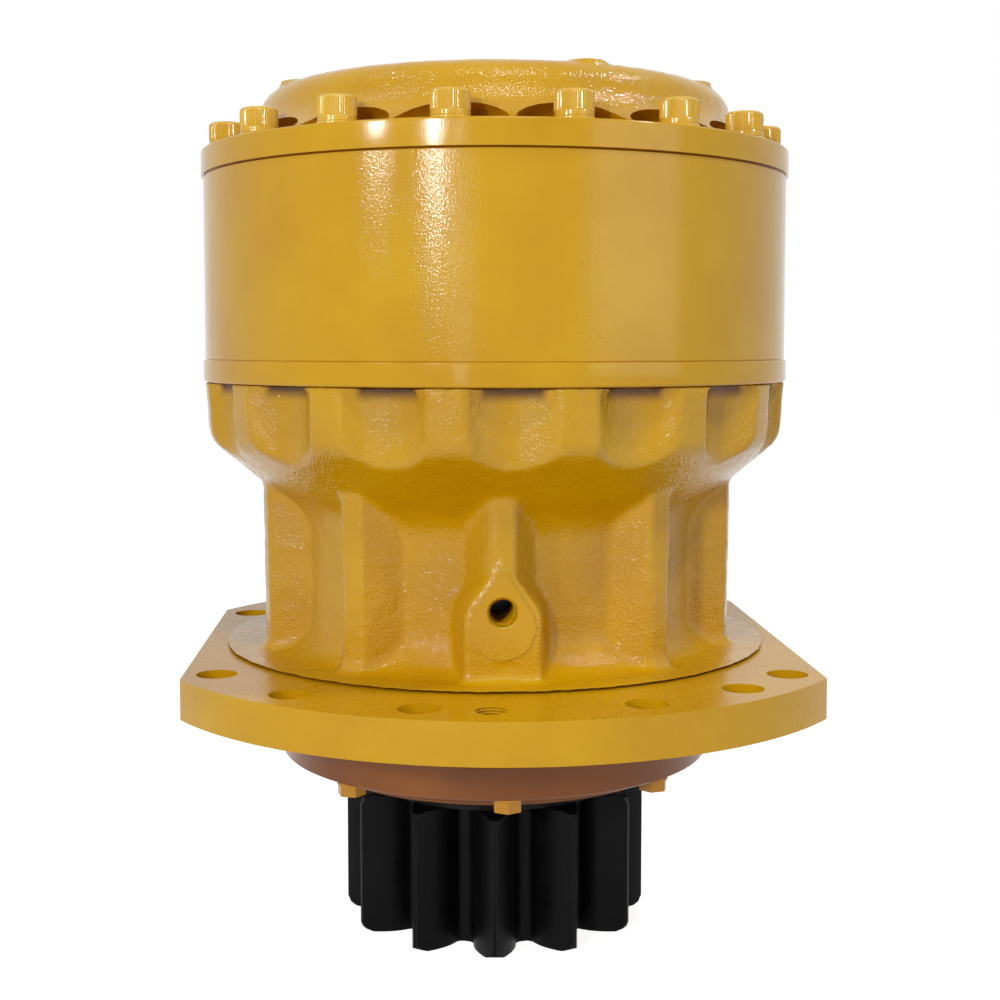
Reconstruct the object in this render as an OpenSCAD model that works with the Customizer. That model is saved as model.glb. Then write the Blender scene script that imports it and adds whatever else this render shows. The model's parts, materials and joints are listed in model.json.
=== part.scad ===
// Excavator swing gearbox: a two stage planetary reducer that turns a large pinion.
// Millimetres. The Z axis is the output shaft, Z = 0 is the underside of the mounting
// flange, and the front, with the oil port, faces -Y.

/* [Mounting flange] */
// Radius of the flange outline
flange_r = 242.3; // [232:0.1:250]
// Distance that the outline and its bolt holes lie toward the front
flange_shift = 12; // [0:0.5:14]
// Distance that they lie toward the right
flange_shift_x = 4; // [0:0.5:6]
// Depth that the left flat takes off the outline
left_flat_depth = 34.3; // [30:0.1:40]
// Depth that the right flat takes off the outline
right_flat_depth = 47.3; // [40:0.1:50]
// Thickness of the flange
flange_t = 25.7; // [18:0.1:36]
// Distance of the mounting holes from the rim
flange_hole_inset = 25.5; // [22:0.5:28]
// Diameter of a mounting hole
flange_hole_d = 26; // [18:0.5:30]
// Angle of the first hole on the left, from the front and from the back
left_near_turn = 16; // [12:0.5:18]
// Angle of the first hole on the right, from the front and from the back
right_near_turn = 19.5; // [16:0.5:24]
// Angle of the second hole on both sides
middle_turn = 39; // [35:0.5:42]
// Angle of the third hole on the left, from the front and from the back
left_far_turn = 59.5; // [52:0.5:60]
// Angle of the third hole on the right, from the front and from the back
right_far_turn = 53; // [50:0.5:56]
// Diameter of the threaded hole for a jack screw
jack_hole_d = 20; // [12:1:24]
// Angle of the jack hole from the front
jack_hole_turn = -5; // [-6:0.5:6]
// Distance from the rim to the raised cast pad under the neck
pad_inset = 52.3; // [46:0.1:62]
// Height of the cast pad above the flange
pad_h = 2; // [1:0.5:4]

/* [Housing neck] */
// Radius of the neck wall between its ribs
neck_r = 143; // [138:0.5:148]
// Number of upright ribs round the neck
rib_count = 10; // [6:1:12]
// Radius of the rib crests
rib_crest_r = 165; // [160:0.5:168]
// Distance that a crest stands out further at its top
rib_lean = 1.8; // [0:0.1:4]
// Width of a rib crest
rib_crest_w = 16; // [10:1:24]
// Width of a rib where it meets the wall
rib_foot_w = 44; // [32:1:60]
// Radius of the fillet between the wall and the pad
foot_fillet = 24; // [12:1:28]
// Radius of the fillet between a rib crest and the pad
rib_foot_fillet = 9; // [4:0.5:16]
// Radius of the fillet between the wall and the bowl
bowl_fillet = 30; // [16:1:34]
// Thickness of the neck wall
neck_wall = 17; // [10:0.5:18]

/* [Housing bowl] */
// Height of the joint between housing and ring gear
housing_top_z = 223.5; // [220:0.5:240]
// Height of the machined band at the top of the bowl
band_h = 15.2; // [10:0.2:22]
// Distance that the machined band stands out past the screw bosses
band_overhang = 1.2; // [0:0.1:3]
// Narrowing of the bowl from its band to its turn
bowl_taper = 2; // [0:0.5:6]
// Radius of the turn from the bowl to the neck
bowl_turn_r = 16; // [10:1:22]
// Height of the middle of that turn
bowl_turn_z = 177; // [172:0.5:184]
// Radius of the hollow between two screw bosses
hollow_r = 40; // [34:1:44]
// Depth of the hollow below the boss radius
hollow_depth = 14; // [8:0.5:16]
// Thickness of the bowl wall
bowl_wall = 38.5; // [34:0.5:40]

/* [Oil port] */
// Distance of the port to the right of the axis
port_x = -4.5; // [-8:0.5:8]
// Height of the port above the mounting face
port_z = 70.8; // [62:0.1:80]
// Diameter of the threaded port
port_d = 16.5; // [12:0.5:18]
// Diameter of the chamfer at its mouth
port_mouth_d = 20; // [18:0.5:24]
// Distance of the port's raised face from the axis
port_face_y = 168; // [166:0.5:176]
// Radius of the round end of the raised face
port_boss_r = 22; // [16:0.5:24]
// Distance from the port down to the middle of that round end
port_round_drop = 7.3; // [0:0.1:10]
// Distance from the port up to the pointed end of the raised face
port_apex_rise = 20.7; // [16:0.1:30]
// Radius of the pointed end
port_apex_r = 5.5; // [3:0.5:10]
// Thickness of the raised face
port_pad_t = 1; // [0.5:0.1:3]
// Widening of the boss from its face to its foot
port_draft = 7; // [3:0.5:10]

/* [Spigot and seal retainer] */
// Thickness of the spigot wall round the lower bearing
spigot_wall = 21.7; // [20:0.1:28]
// Height of the spigot
spigot_h = 30; // [27:0.5:31]
// Step in from the spigot to the retainer plate below it
retainer_step = 1.2; // [0.6:0.1:3]
// Thickness of the retainer plate
retainer_t = 20.6; // [14:0.1:24]
// Distance of the lip that holds the seal from the rim of the plate
lip_inset = 22.5; // [22:0.1:26]
// Height of the lip below the plate
lip_h = 10; // [8:0.1:16]
// Distance of the retainer screws from the rim of the plate
retainer_screw_inset = 10.5; // [10:0.1:11.5]
// Number of retainer screws
retainer_screw_count = 8; // [6:1:12]
// Thread diameter of a retainer screw
retainer_screw_d = 10; // [8:1:10]
// Width across the flats of its head
retainer_screw_af = 17; // [13:1:17]

/* [Ring gear and cover] */
// Thickness of the ring gear outside the roots of its teeth
ring_wall = 38; // [35:0.25:42]
// Height of the ring gear
ring_h = 122.8; // [120:0.2:126]
// Distance that the cover flange stands out past the ring gear
cover_overhang = 1.4; // [0:0.1:4]
// Thickness of the cover flange
cover_flange_t = 17.5; // [14:0.5:24]
// Height of the dome above the cover flange
dome_h = 44.6; // [44:0.2:50]
// Distance of the dome wall inside the circle of cover screws
dome_inset = 24.3; // [22:0.1:28]
// Inward lean of the dome wall
dome_lean = 5; // [0:0.5:8]
// Radius of the fillet at the foot of the dome
dome_foot_fillet = 22; // [12:0.5:23]
// Radius of the rounded top edge of the dome
dome_edge_r = 19; // [10:1:20]
// Thickness of the dome wall and top
dome_wall = 17; // [10:0.5:18]
// Radius of the spot face round each cover screw
spot_face_r = 27.5; // [20:0.5:29]
// Radius of the pilot bore for the motor
motor_pilot_r = 85; // [70:0.5:95]
// Radius of the circle of motor screws
motor_screw_circle_r = 118; // [110:0.5:122]
// Number of motor screws
motor_screw_count = 8; // [4:1:12]
// Thread diameter of a motor screw
motor_screw_d = 16; // [12:1:20]
// Turn of the motor screws from the front
motor_screw_turn = 20.25; // [0:0.25:45]
// Radius of a cast boss on the dome rim
rim_boss_r = 14; // [10:0.5:16]
// Distance of the rim bosses inside the dome wall
rim_boss_inset = 12.5; // [10:0.5:18]

/* [Cover screws] */
// Number of cover screws
screw_count = 16; // [12:1:18]
// Distance of the cover screws inside the ring gear's outline
screw_inset = 16; // [14:0.1:17]
// Thread diameter of a cover screw
screw_d = 16; // [12:1:18]
// Length of a cover screw under its head
screw_length = 170; // [164:1:176]
// Diameter of its socket head
screw_head_d = 24; // [20:1:26]
// Height of its socket head
screw_head_h = 16; // [12:1:20]
// Outer diameter of its washer
washer_d = 26; // [25:0.5:32]
// Thickness of its washer
washer_t = 2; // [1.5:0.5:4]
// Diameter of the dowels that line up the casings
dowel_d = 12; // [8:1:14]

/* [Output pinion and shaft] */
// Number of pinion teeth
pinion_teeth = 12; // [11:1:13]
// Module of the pinion
pinion_module = 14; // [13:0.5:14]
// Profile shift of the pinion in modules
pinion_shift = 0.6; // [0.4:0.05:0.6]
// Height of the lower end of the pinion
pinion_low_z = -171.4; // [-190:0.1:-150]
// Length of the pinion teeth
pinion_l = 95.3; // [80:0.1:97]
// Length of the slope at the ends of the teeth
pinion_end_chamfer = 6; // [3:0.5:12]
// Turn of the pinion at rest
pinion_turn = -3.25; // [-15:0.25:15]
// Shaft radius under the seal sleeve
sleeve_seat_r = 80; // [79:0.5:81]
// Thickness of the seal sleeve
sleeve_wall = 8; // [6:0.5:10]
// Shaft radius in the lower bearing
lower_seat_r = 75; // [73:0.5:77]
// Shaft radius between the bearings
barrel_r = 68; // [66:0.5:70]
// Shaft radius in the upper bearing
upper_seat_r = 62; // [61:0.5:63]
// Shaft radius at the lock nut thread
thread_r = 60; // [59:0.25:61]
// Outer radius of the lock nut
lock_nut_r = 80; // [74:0.5:82]

/* [Bearings] */
// Outer radius of the lower bearing
lower_bearing_r = 130; // [129:0.5:131]
// Width of the lower bearing
lower_bearing_w = 58; // [56:0.5:58]
// Outer radius of the upper bearing
upper_bearing_r = 107.5; // [106:0.5:112]
// Width of the upper bearing
upper_bearing_w = 42; // [41:0.5:43]
// Height of the foot of the upper bearing
upper_bearing_z = 108; // [106:0.5:110]
// Tilt of the rollers
roller_tilt = 14; // [10:0.5:16]

/* [Gear train] */
// Module of both planetary stages
gear_module = 5; // [5:0.01:5.01]
// Pressure angle of every gear
pressure_angle = 20; // [19:0.5:21]
// Number of teeth in the common ring gear
ring_teeth = 63; // [63:1:63]
// Number of teeth on the input sun gear
input_sun_teeth = 15; // [15:1:15]
// Number of teeth on an input planet
input_planet_teeth = 24; // [24:1:24]
// Number of teeth on the output sun gear
output_sun_teeth = 21; // [21:1:21]
// Number of teeth on an output planet
output_planet_teeth = 21; // [21:1:21]
// Thinning of each tooth flank for backlash
flank_play = 0.15; // [0.12:0.01:0.25]
// Face width of the output stage
output_face_w = 52; // [46:1:52]
// Face width of the input stage
input_face_w = 32; // [26:1:32]
// Radius of an output planet pin
output_pin_r = 20; // [18:0.5:21]
// Radius of an input planet pin
input_pin_r = 15; // [13:0.5:16]
// Radius of an output planet roller
output_roller_r = 4.9; // [4:0.1:5.5]
// Radius of an input planet roller
input_roller_r = 4; // [3:0.1:4.5]
// Thickness of the planet thrust washers
thrust_t = 2; // [1.5:0.1:2.5]
// Gap between the carriers and the tips of the ring gear's teeth
carrier_gap = 6; // [4:0.5:12]

/* [Clearances] */
// Radial clearance of parts that slide together
fit_gap = 0.05; // [0.02:0.01:0.1]
// Running gap between parts that pass each other
run_gap = 0.3; // [0.2:0.05:0.5]

/* [Hidden] */
$fn = 96;
front = -90;
cut = 1;

paint = [0.82, 0.62, 0.14];
steel = [0.62, 0.63, 0.65];
dark_steel = [0.1, 0.1, 0.11];
iron = [0.42, 0.42, 0.43];
bronze = [0.72, 0.55, 0.3];
rubber = [0.08, 0.08, 0.08];

// Radii of the casings
tooth_head = 1;
tooth_foot = 1.25;
ring_tooth_head = 0.9;
ring_pitch_r = ring_teeth * gear_module / 2;
ring_tip_r = ring_pitch_r - ring_tooth_head * gear_module;
ring_r = ring_pitch_r + tooth_foot * gear_module + ring_wall;
screw_circle_r = ring_r - screw_inset;
cover_r = ring_r + cover_overhang;
dome_r = screw_circle_r - dome_inset;
rim_boss_circle_r = dome_r - rim_boss_inset;
bowl_r = ring_r;
bowl_low_r = bowl_r - bowl_taper;
bowl_inner_r = bowl_r - bowl_wall;
band_r = bowl_r + band_overhang;
spigot_r = lower_bearing_r + spigot_wall;
retainer_r = spigot_r - retainer_step;
retainer_screw_circle_r = retainer_r - retainer_screw_inset;
lip_r = retainer_r - lip_inset;
left_flat_x = flange_shift_x - flange_r + left_flat_depth;
right_flat_x = flange_shift_x + flange_r - right_flat_depth;
flange_hole_circle_r = flange_r - flange_hole_inset;
pad_r = flange_r - pad_inset;

// Heights of the casings
pad_z = flange_t + pad_h;
band_z = housing_top_z - band_h;
ring_top_z = housing_top_z + ring_h;
cover_top_z = ring_top_z + cover_flange_t;
dome_top_z = cover_top_z + dome_h;
dome_inner_z = dome_top_z - dome_wall;
retainer_low_z = -spigot_h - retainer_t;
lip_low_z = retainer_low_z - lip_h;
screw_seat_z = cover_top_z + washer_t;
neck_inner_r = neck_r - neck_wall;
rib_top_z = bowl_turn_z;
bowl_slope_z = bowl_turn_z - bowl_turn_r * sin(50);
bowl_slope_r = bowl_low_r - bowl_turn_r * (1 - cos(50));
fillet_end_r = neck_r + bowl_fillet * (1 - cos(50));
fillet_end_z = bowl_slope_z - (bowl_slope_r - fillet_end_r) * tan(40);
fillet_low_z = fillet_end_z - bowl_fillet * sin(50);

// Heights and radii on the shaft
pinion_top_z = pinion_low_z + pinion_l;
pinion_recess_r = 56;
pinion_recess_h = 3;
centre_hole_d = 20;
centre_hole_h = 14;
sleeve_r = sleeve_seat_r + sleeve_wall;
sleeve_low_z = pinion_top_z + fit_gap;
cup_spigot_h = 3;
lower_low_z = cup_spigot_h - spigot_h;
lower_top_z = lower_low_z + lower_bearing_w;
lower_mid_z = lower_low_z + lower_bearing_w / 2;
lower_pitch_r = (lower_bearing_r + lower_seat_r) / 2;
lower_roller_share = 0.2182;
lower_end_room = 18;
lower_roller_r = lower_roller_share * (lower_bearing_r - lower_seat_r);
lower_roller_l = lower_bearing_w - lower_end_room;
lower_roller_count = 21;
upper_top_z = upper_bearing_z + upper_bearing_w;
upper_mid_z = upper_bearing_z + upper_bearing_w / 2;
upper_pitch_r = (upper_bearing_r + upper_seat_r) / 2;
upper_roller_share = 0.2088;
upper_end_room = 12;
upper_roller_r = upper_roller_share * (upper_bearing_r - upper_seat_r);
upper_roller_l = upper_bearing_w - upper_end_room;
upper_roller_count = 22;
lock_washer_t = 2;
lock_nut_low_z = upper_top_z + lock_washer_t;
lock_nut_h = 17;
lock_nut_top_z = lock_nut_low_z + lock_nut_h;
spacer_wall = 9;
seat_shoulder = 8;
seal_w = 15;
seal_r = sleeve_r + seal_w;
seal_h = 14;
seal_low_z = lip_low_z + 5;
lip_gap = 5;

// Heights in the gear train, from the output carrier up
carrier_r = ring_tip_r - carrier_gap;
carrier_hub_r = 84;
carrier_hub_low_z = lock_nut_top_z + 4;
output_plate_t = 34;
output_plate_top_z = 226;
output_bay_h = output_face_w + 2 * thrust_t;
output_gear_z = output_plate_top_z + thrust_t;
output_upper_z = output_plate_top_z + output_bay_h;
upper_plate_t = 12;
thrust_ring_t = 2.6;
input_lower_z = output_upper_z + upper_plate_t + thrust_ring_t + run_gap;
input_plate_t = 8;
input_bay_z = input_lower_z + input_plate_t;
input_gear_z = input_bay_z + thrust_t;
input_upper_z = input_gear_z + input_face_w + thrust_t;
input_hub_low_z = input_lower_z - 9;
input_hub_r = 58;
shaft_end_z = 216;
end_plate_t = 5;
end_plate_r = 68;
end_plate_low_z = shaft_end_z + 0.2;
spline_teeth = 28;
spline_module = 4;
sun_spline_teeth = 24;
sun_spline_module = 3;
motor_spline_teeth = 14;
motor_spline_module = 3;

// Orbits, tooth phases and bores of the planets
output_orbit_r = (output_sun_teeth + output_planet_teeth) * gear_module / 2;
input_orbit_r = (input_sun_teeth + input_planet_teeth) * gear_module / 2;
output_sun_phase = 180 / output_sun_teeth;
input_sun_phase = 0;
output_planets = 4;
input_planets = 3;
output_bore_r = output_pin_r + 2 * output_roller_r + 2 * fit_gap;
input_bore_r = input_pin_r + 2 * input_roller_r + 2 * fit_gap;
output_rollers = floor(180 / asin((output_roller_r + fit_gap) / (output_pin_r + output_roller_r)));
input_rollers = floor(180 / asin((input_roller_r + fit_gap) / (input_pin_r + input_roller_r)));

// Floors under the planet pins, and the screws of the end plate
output_pin_floor = 6;
input_pin_floor = 2;
output_pin_low_z = output_plate_top_z - output_plate_t + output_pin_floor + run_gap;
end_screw_circle_r = 34;
end_screw_count = 3;
end_screw_d = 12;
end_screw_l = 30;
end_screw_af = 18;
end_screw_head_h = 5.5;

// Thrust ring, washer and hubs of the sun gears
thrust_ring_gap = 12;
thrust_ring_w = 26;
sun_neck_r = 30;
sun_bore_r = 16;
sun_washer_r = 40;
motor_hub_r = 31;
motor_sun_bore_r = 12;

// Seals, and small sizes of the casings
o_ring_d = 3.5;
o_ring_r = (ring_pitch_r + screw_circle_r) / 2;
small_o_ring_d = 2.4;
small_o_ring_r = lower_bearing_r + 2.6;
lower_shoulder_h = 6;
core_slope_h = 4;
core_end_h = 14;
upper_slope_h = 8;
cup_relief_h = 2;
cup_slope_h = 4;
bowl_floor_w = 14;
bowl_floor_h = 16;
bowl_rise_h = 16;
retainer_washer_t = 1.6;
rim_boss_drop = 3;

// Points in the plane
function polar(r, a) = [r * cos(a), r * sin(a)];
function turned(p, a) = [p.x * cos(a) - p.y * sin(a), p.x * sin(a) + p.y * cos(a)];
function arc(centre, r, from, to, steps) =
    [for (i = [0 : steps]) centre + polar(r, from + (to - from) * i / steps)];
function backward(list) = [for (i = [len(list) - 1 : -1 : 0]) list[i]];

// Involute teeth
function involute(r, base_r) = let (a = acos(min(1, base_r / r))) tan(a) * 180 / PI - a;
function base_radius(teeth, size) = teeth * size / 2 * cos(pressure_angle);
function half_tooth(r, teeth, size, shift, play) =
    let (pitch_r = teeth * size / 2, base_r = base_radius(teeth, size))
    90 / teeth + 360 * shift * tan(pressure_angle) / (PI * teeth) - play / pitch_r * 180 / PI
    + involute(pitch_r, base_r) - involute(max(r, base_r), base_r);

// One flank of a tooth that is centred on the X axis, from its tip down to the root
function flank(teeth, size, shift, play, tip_r, root_r, fillet_r, steps, fillet_steps) =
    let (tangent_r = sqrt(pow(root_r + fillet_r, 2) - pow(fillet_r, 2)),
         start_r = max(base_radius(teeth, size), root_r, tangent_r),
         foot = half_tooth(start_r, teeth, size, shift, play),
         middle = foot + asin(fillet_r / (root_r + fillet_r)),
         sweep = middle - foot - 90)
    concat(
        [for (i = [steps : -1 : 0])
            let (r = start_r + (tip_r - start_r) * i / steps)
            polar(r, half_tooth(r, teeth, size, shift, play))],
        [for (i = [1 : 1 : fillet_steps])
            polar(root_r + fillet_r, middle) + polar(fillet_r, foot - 90 + sweep * i / fillet_steps)]);

function gear_points(teeth, size, shift, play, tip_r, root_r, fillet_r, steps, fillet_steps) =
    let (side = flank(teeth, size, shift, play, tip_r, root_r, fillet_r, steps, fillet_steps),
         tooth = concat([for (p = backward(side)) [p.x, -p.y]], side))
    [for (k = [0 : teeth - 1]) for (p = tooth) turned(p, k * 360 / teeth)];

// Phase of a planet at an orbit angle, so that its teeth stand in the gaps of its sun
function planet_phase(orbit_a, sun_teeth, sun_phase, planet_teeth) =
    orbit_a + 180 - 360 / planet_teeth * (0.5 - (orbit_a - sun_phase) * sun_teeth / 360);

module round_copies(count, r, from = 0) {
    for (i = [0 : count - 1])
        rotate([0, 0, from + i * 360 / count])
            translate([r, 0, 0])
                children();
}

module disc(r, z, h) {
    translate([0, 0, z])
        cylinder(h = h, r = r);
}

module ring(outer_r, inner_r, z, h) {
    translate([0, 0, z])
        difference() {
            cylinder(h = h, r = outer_r);
            translate([0, 0, -cut])
                cylinder(h = h + 2 * cut, r = inner_r);
        }
}

module spun(points) {
    rotate_extrude($fn = 96)
        polygon(points);
}

module planet_gear_2d(teeth, phase) {
    pitch_r = teeth * gear_module / 2;
    rotate([0, 0, phase])
        polygon(gear_points(teeth, gear_module, 0, flank_play, pitch_r + tooth_head * gear_module,
            pitch_r - tooth_foot * gear_module, 0.28 * gear_module, 4, 1));
}

// A spline of short teeth, widened by a gap where it is a bore
module spline_2d(teeth, size, gap) {
    pitch_r = teeth * size / 2;
    polygon(gear_points(teeth, size, 0, -gap, pitch_r + size / 2 + gap,
        pitch_r - 0.6 * size + gap, 0, 2, 0));
}

// Cast housing with its mounting flange, ribbed neck, bowl and bearing seats
module flange_outline() {
    intersection() {
        translate([flange_shift_x, -flange_shift])
            circle(r = flange_r, $fn = 128);
        translate([left_flat_x, -2 * flange_r])
            square([right_flat_x - left_flat_x, 4 * flange_r]);
    }
}

module flange_holes() {
    left_turns = [left_near_turn, middle_turn, left_far_turn];
    right_turns = [right_near_turn, middle_turn, right_far_turn];
    sides = concat(
        [for (a = left_turns) each [front - a, 90 + a]],
        [for (a = right_turns) each [front + a, 90 - a]]);
    translate([flange_shift_x, -flange_shift, -cut])
        for (side = sides)
            rotate([0, 0, side])
                translate([flange_hole_circle_r, 0, 0])
                    cylinder(h = flange_t + 2 * cut, d = flange_hole_d, $fn = 32);
    translate([flange_shift_x, -flange_shift, -cut])
        rotate([0, 0, front + jack_hole_turn])
            translate([flange_hole_circle_r, 0, 0])
                cylinder(h = flange_t + 2 * cut, d = jack_hole_d, $fn = 32);
}

// Upright ribs, which spread into the pad at their feet, with the front one above the port
module ribs() {
    core_r = neck_inner_r + 4;
    reach_r = rib_crest_r + rib_foot_fillet;
    low_z = flange_t - 1;
    intersection() {
        spun(concat(
            [[core_r, low_z], [reach_r, low_z]],
            arc([reach_r, pad_z + rib_foot_fillet], rib_foot_fillet, 268, 180, 5),
            [[rib_crest_r + rib_lean, rib_top_z], [core_r, rib_top_z]]));
        translate([0, 0, low_z])
            linear_extrude(height = rib_top_z - low_z)
                for (i = [0 : rib_count - 1])
                    translate([i == 0 ? port_x : 0, 0])
                        rotate([0, 0, front + i * 360 / rib_count])
                            polygon([[core_r, -rib_foot_w / 2 - 2], [neck_r - 1, -rib_foot_w / 2],
                                [rib_crest_r, -rib_crest_w / 2], [reach_r + 1, -rib_crest_w / 2 - 3],
                                [reach_r + 1, rib_crest_w / 2 + 3], [rib_crest_r, rib_crest_w / 2],
                                [neck_r - 1, rib_foot_w / 2], [core_r, rib_foot_w / 2 + 2]]);
    }
}

module bowl_shell() {
    spun(concat(
        [[neck_inner_r, fillet_low_z - 2], [neck_r - 1, fillet_low_z - 2]],
        arc([neck_r + bowl_fillet, fillet_low_z], bowl_fillet, 180, 130, 5),
        arc([bowl_low_r - bowl_turn_r, bowl_turn_z], bowl_turn_r, -50, -6, 5),
        [[bowl_r, band_z], [bowl_r, band_z + 2], [neck_inner_r, band_z + 2]]));
}

module boss_hollows() {
    round_copies(screw_count, bowl_r - hollow_depth + hollow_r, front)
        translate([0, 0, fillet_low_z])
            cylinder(h = band_z - fillet_low_z, r = hollow_r, $fn = 64);
}

module foot_shell() {
    spun(concat(
        [[neck_inner_r, flange_t - 2], [neck_r + foot_fillet, flange_t - 2]],
        arc([neck_r + foot_fillet, pad_z + foot_fillet], foot_fillet, 268, 180, 6),
        [[neck_r - 1, pad_z + foot_fillet + 2], [neck_inner_r, pad_z + foot_fillet + 2]]));
}

// Boss of the oil port, drawn upright in the plane of its face
module port_outline(depth, draft, rim) {
    translate([0, port_z - port_round_drop, 0])
        cylinder(h = depth, r1 = port_boss_r + rim + draft, r2 = port_boss_r + rim, $fn = 32);
    translate([0, port_z + port_apex_rise, 0])
        cylinder(h = depth, r1 = port_apex_r + rim + draft, r2 = port_apex_r + rim, $fn = 32);
}

module port_boss() {
    foot_y = neck_r - 6;
    depth = port_face_y - port_pad_t - foot_y;
    rim = 1.5;
    half_w = port_boss_r + rim;
    translate([port_x, -foot_y, 0])
        rotate([90, 0, 0]) {
            hull() {
                port_outline(depth, port_draft, rim);
                translate([-half_w - port_draft, pad_z - 1, 0])
                    cube([2 * (half_w + port_draft), 1, 1]);
                translate([-half_w, pad_z - 1, depth - 1])
                    cube([2 * half_w, 1, 1]);
            }
            hull()
                port_outline(depth + port_pad_t, 0, 0);
        }
}

module port_cut() {
    mouth_h = (port_mouth_d - port_d) / 2;
    translate([port_x, -neck_inner_r + 6, port_z])
        rotate([90, 0, 0])
            cylinder(h = port_face_y - neck_inner_r + 6 + cut, d = port_d, $fn = 48);
    translate([port_x, -port_face_y + mouth_h, port_z])
        rotate([90, 0, 0])
            cylinder(h = mouth_h + 0.01, d1 = port_d, d2 = port_mouth_d + 0.01, $fn = 48);
}

module housing_space() {
    core_low_z = lower_top_z + lower_shoulder_h;
    core_top_z = upper_bearing_z - upper_slope_h;
    floor_z = upper_top_z + cup_relief_h + cup_slope_h;
    spun([[0, -spigot_h - cut], [lower_bearing_r, -spigot_h - cut], [lower_bearing_r, lower_top_z],
        [lower_bearing_r - seat_shoulder, lower_top_z],
        [lower_bearing_r - seat_shoulder, core_low_z],
        [neck_inner_r, core_low_z + core_slope_h], [neck_inner_r, core_top_z - core_end_h],
        [upper_bearing_r - seat_shoulder, core_top_z],
        [upper_bearing_r - seat_shoulder, upper_bearing_z], [upper_bearing_r, upper_bearing_z],
        [upper_bearing_r, floor_z - cup_slope_h], [upper_bearing_r + seat_shoulder, floor_z],
        [bowl_inner_r - bowl_floor_w, floor_z + bowl_floor_h],
        [bowl_inner_r, floor_z + bowl_floor_h + bowl_rise_h],
        [bowl_inner_r, housing_top_z + cut], [0, housing_top_z + cut]]);
}

module screw_holes(d, z, h) {
    translate([0, 0, z])
        round_copies(screw_count, screw_circle_r, front + 180 / screw_count)
            cylinder(h = h, d = d, $fn = 32);
}

module dowel_holes(z, h) {
    translate([0, 0, z])
        round_copies(2, screw_circle_r, front)
            cylinder(h = h, d = dowel_d + 2 * fit_gap, $fn = 32);
}

module o_ring_groove(r, d, z) {
    ring(r + d / 2 + fit_gap, r - d / 2 - fit_gap, z, d + 2 * fit_gap);
}

module gear_housing() {
    hole_depth = screw_length - ring_h - cover_flange_t - washer_t + 3;
    color(paint)
        difference() {
            union() {
                linear_extrude(height = flange_t)
                    flange_outline();
                disc(spigot_r, -spigot_h, spigot_h + 2);
                disc(pad_r, flange_t - 2, pad_h + 2);
                foot_shell();
                disc(neck_r, flange_t - 1, rib_top_z - flange_t + 1);
                ribs();
                difference() {
                    bowl_shell();
                    boss_hollows();
                }
                disc(band_r, band_z, band_h);
                port_boss();
            }
            housing_space();
            flange_holes();
            port_cut();
            screw_holes(screw_d + 2 * fit_gap, housing_top_z - hole_depth, hole_depth + cut);
            dowel_holes(housing_top_z - 12, 12 + cut);
            translate([0, 0, -spigot_h - cut])
                round_copies(retainer_screw_count, retainer_screw_circle_r, front)
                    cylinder(h = 24 + cut, d = retainer_screw_d + 2 * fit_gap, $fn = 32);
            o_ring_groove(o_ring_r, o_ring_d, housing_top_z - o_ring_d - fit_gap);
        }
}

// Common ring gear of both stages, clamped between housing and cover
module ring_gear() {
    color(paint)
        difference() {
            disc(ring_r, housing_top_z, ring_h);
            translate([0, 0, housing_top_z - cut])
                rotate([0, 0, 180 / ring_teeth])
                    linear_extrude(height = ring_h + 2 * cut)
                        polygon(gear_points(ring_teeth, gear_module, 0, -flank_play,
                            ring_pitch_r + tooth_foot * gear_module,
                            ring_pitch_r - ring_tooth_head * gear_module, 0, 4, 0));
            screw_holes(screw_d + 1, housing_top_z - cut, ring_h + 2 * cut);
            dowel_holes(housing_top_z - cut, 12 + cut);
            dowel_holes(ring_top_z - 12, 12 + cut);
        }
}

// Cast cover with a domed top that carries the motor
module dome_solid() {
    foot_r = dome_r + dome_foot_fillet;
    edge_r = dome_r - dome_lean - dome_edge_r;
    difference() {
        spun(concat(
            [[0, cover_top_z - 6], [foot_r, cover_top_z - 6]],
            arc([foot_r, cover_top_z + dome_foot_fillet], dome_foot_fillet, 266, 180, 6),
            arc([edge_r, dome_top_z - dome_edge_r], dome_edge_r, 0, 90, 6),
            [[0, dome_top_z]]));
        translate([0, 0, cover_top_z - 8])
            round_copies(screw_count, screw_circle_r, front + 180 / screw_count)
                cylinder(h = dome_h, r = spot_face_r, $fn = 48);
    }
}

module rim_bosses() {
    step = 360 / motor_screw_count;
    foot_z = dome_inner_z - 4;
    boss_h = dome_top_z - rim_boss_drop - foot_z;
    for (i = [0, 1, 2, 4, 6])
        rotate([0, 0, front + motor_screw_turn + i * step])
            translate([rim_boss_circle_r, 0, foot_z])
                cylinder(h = boss_h, r1 = rim_boss_r - 4, r2 = rim_boss_r, $fn = 48);
}

module cover_space() {
    inner_r = ring_pitch_r - 9;
    spun([[0, ring_top_z - cut], [inner_r, ring_top_z - cut], [inner_r, cover_top_z + 4],
        [inner_r - 20, dome_inner_z - 6], [inner_r - 28, dome_inner_z], [0, dome_inner_z]]);
}

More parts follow.
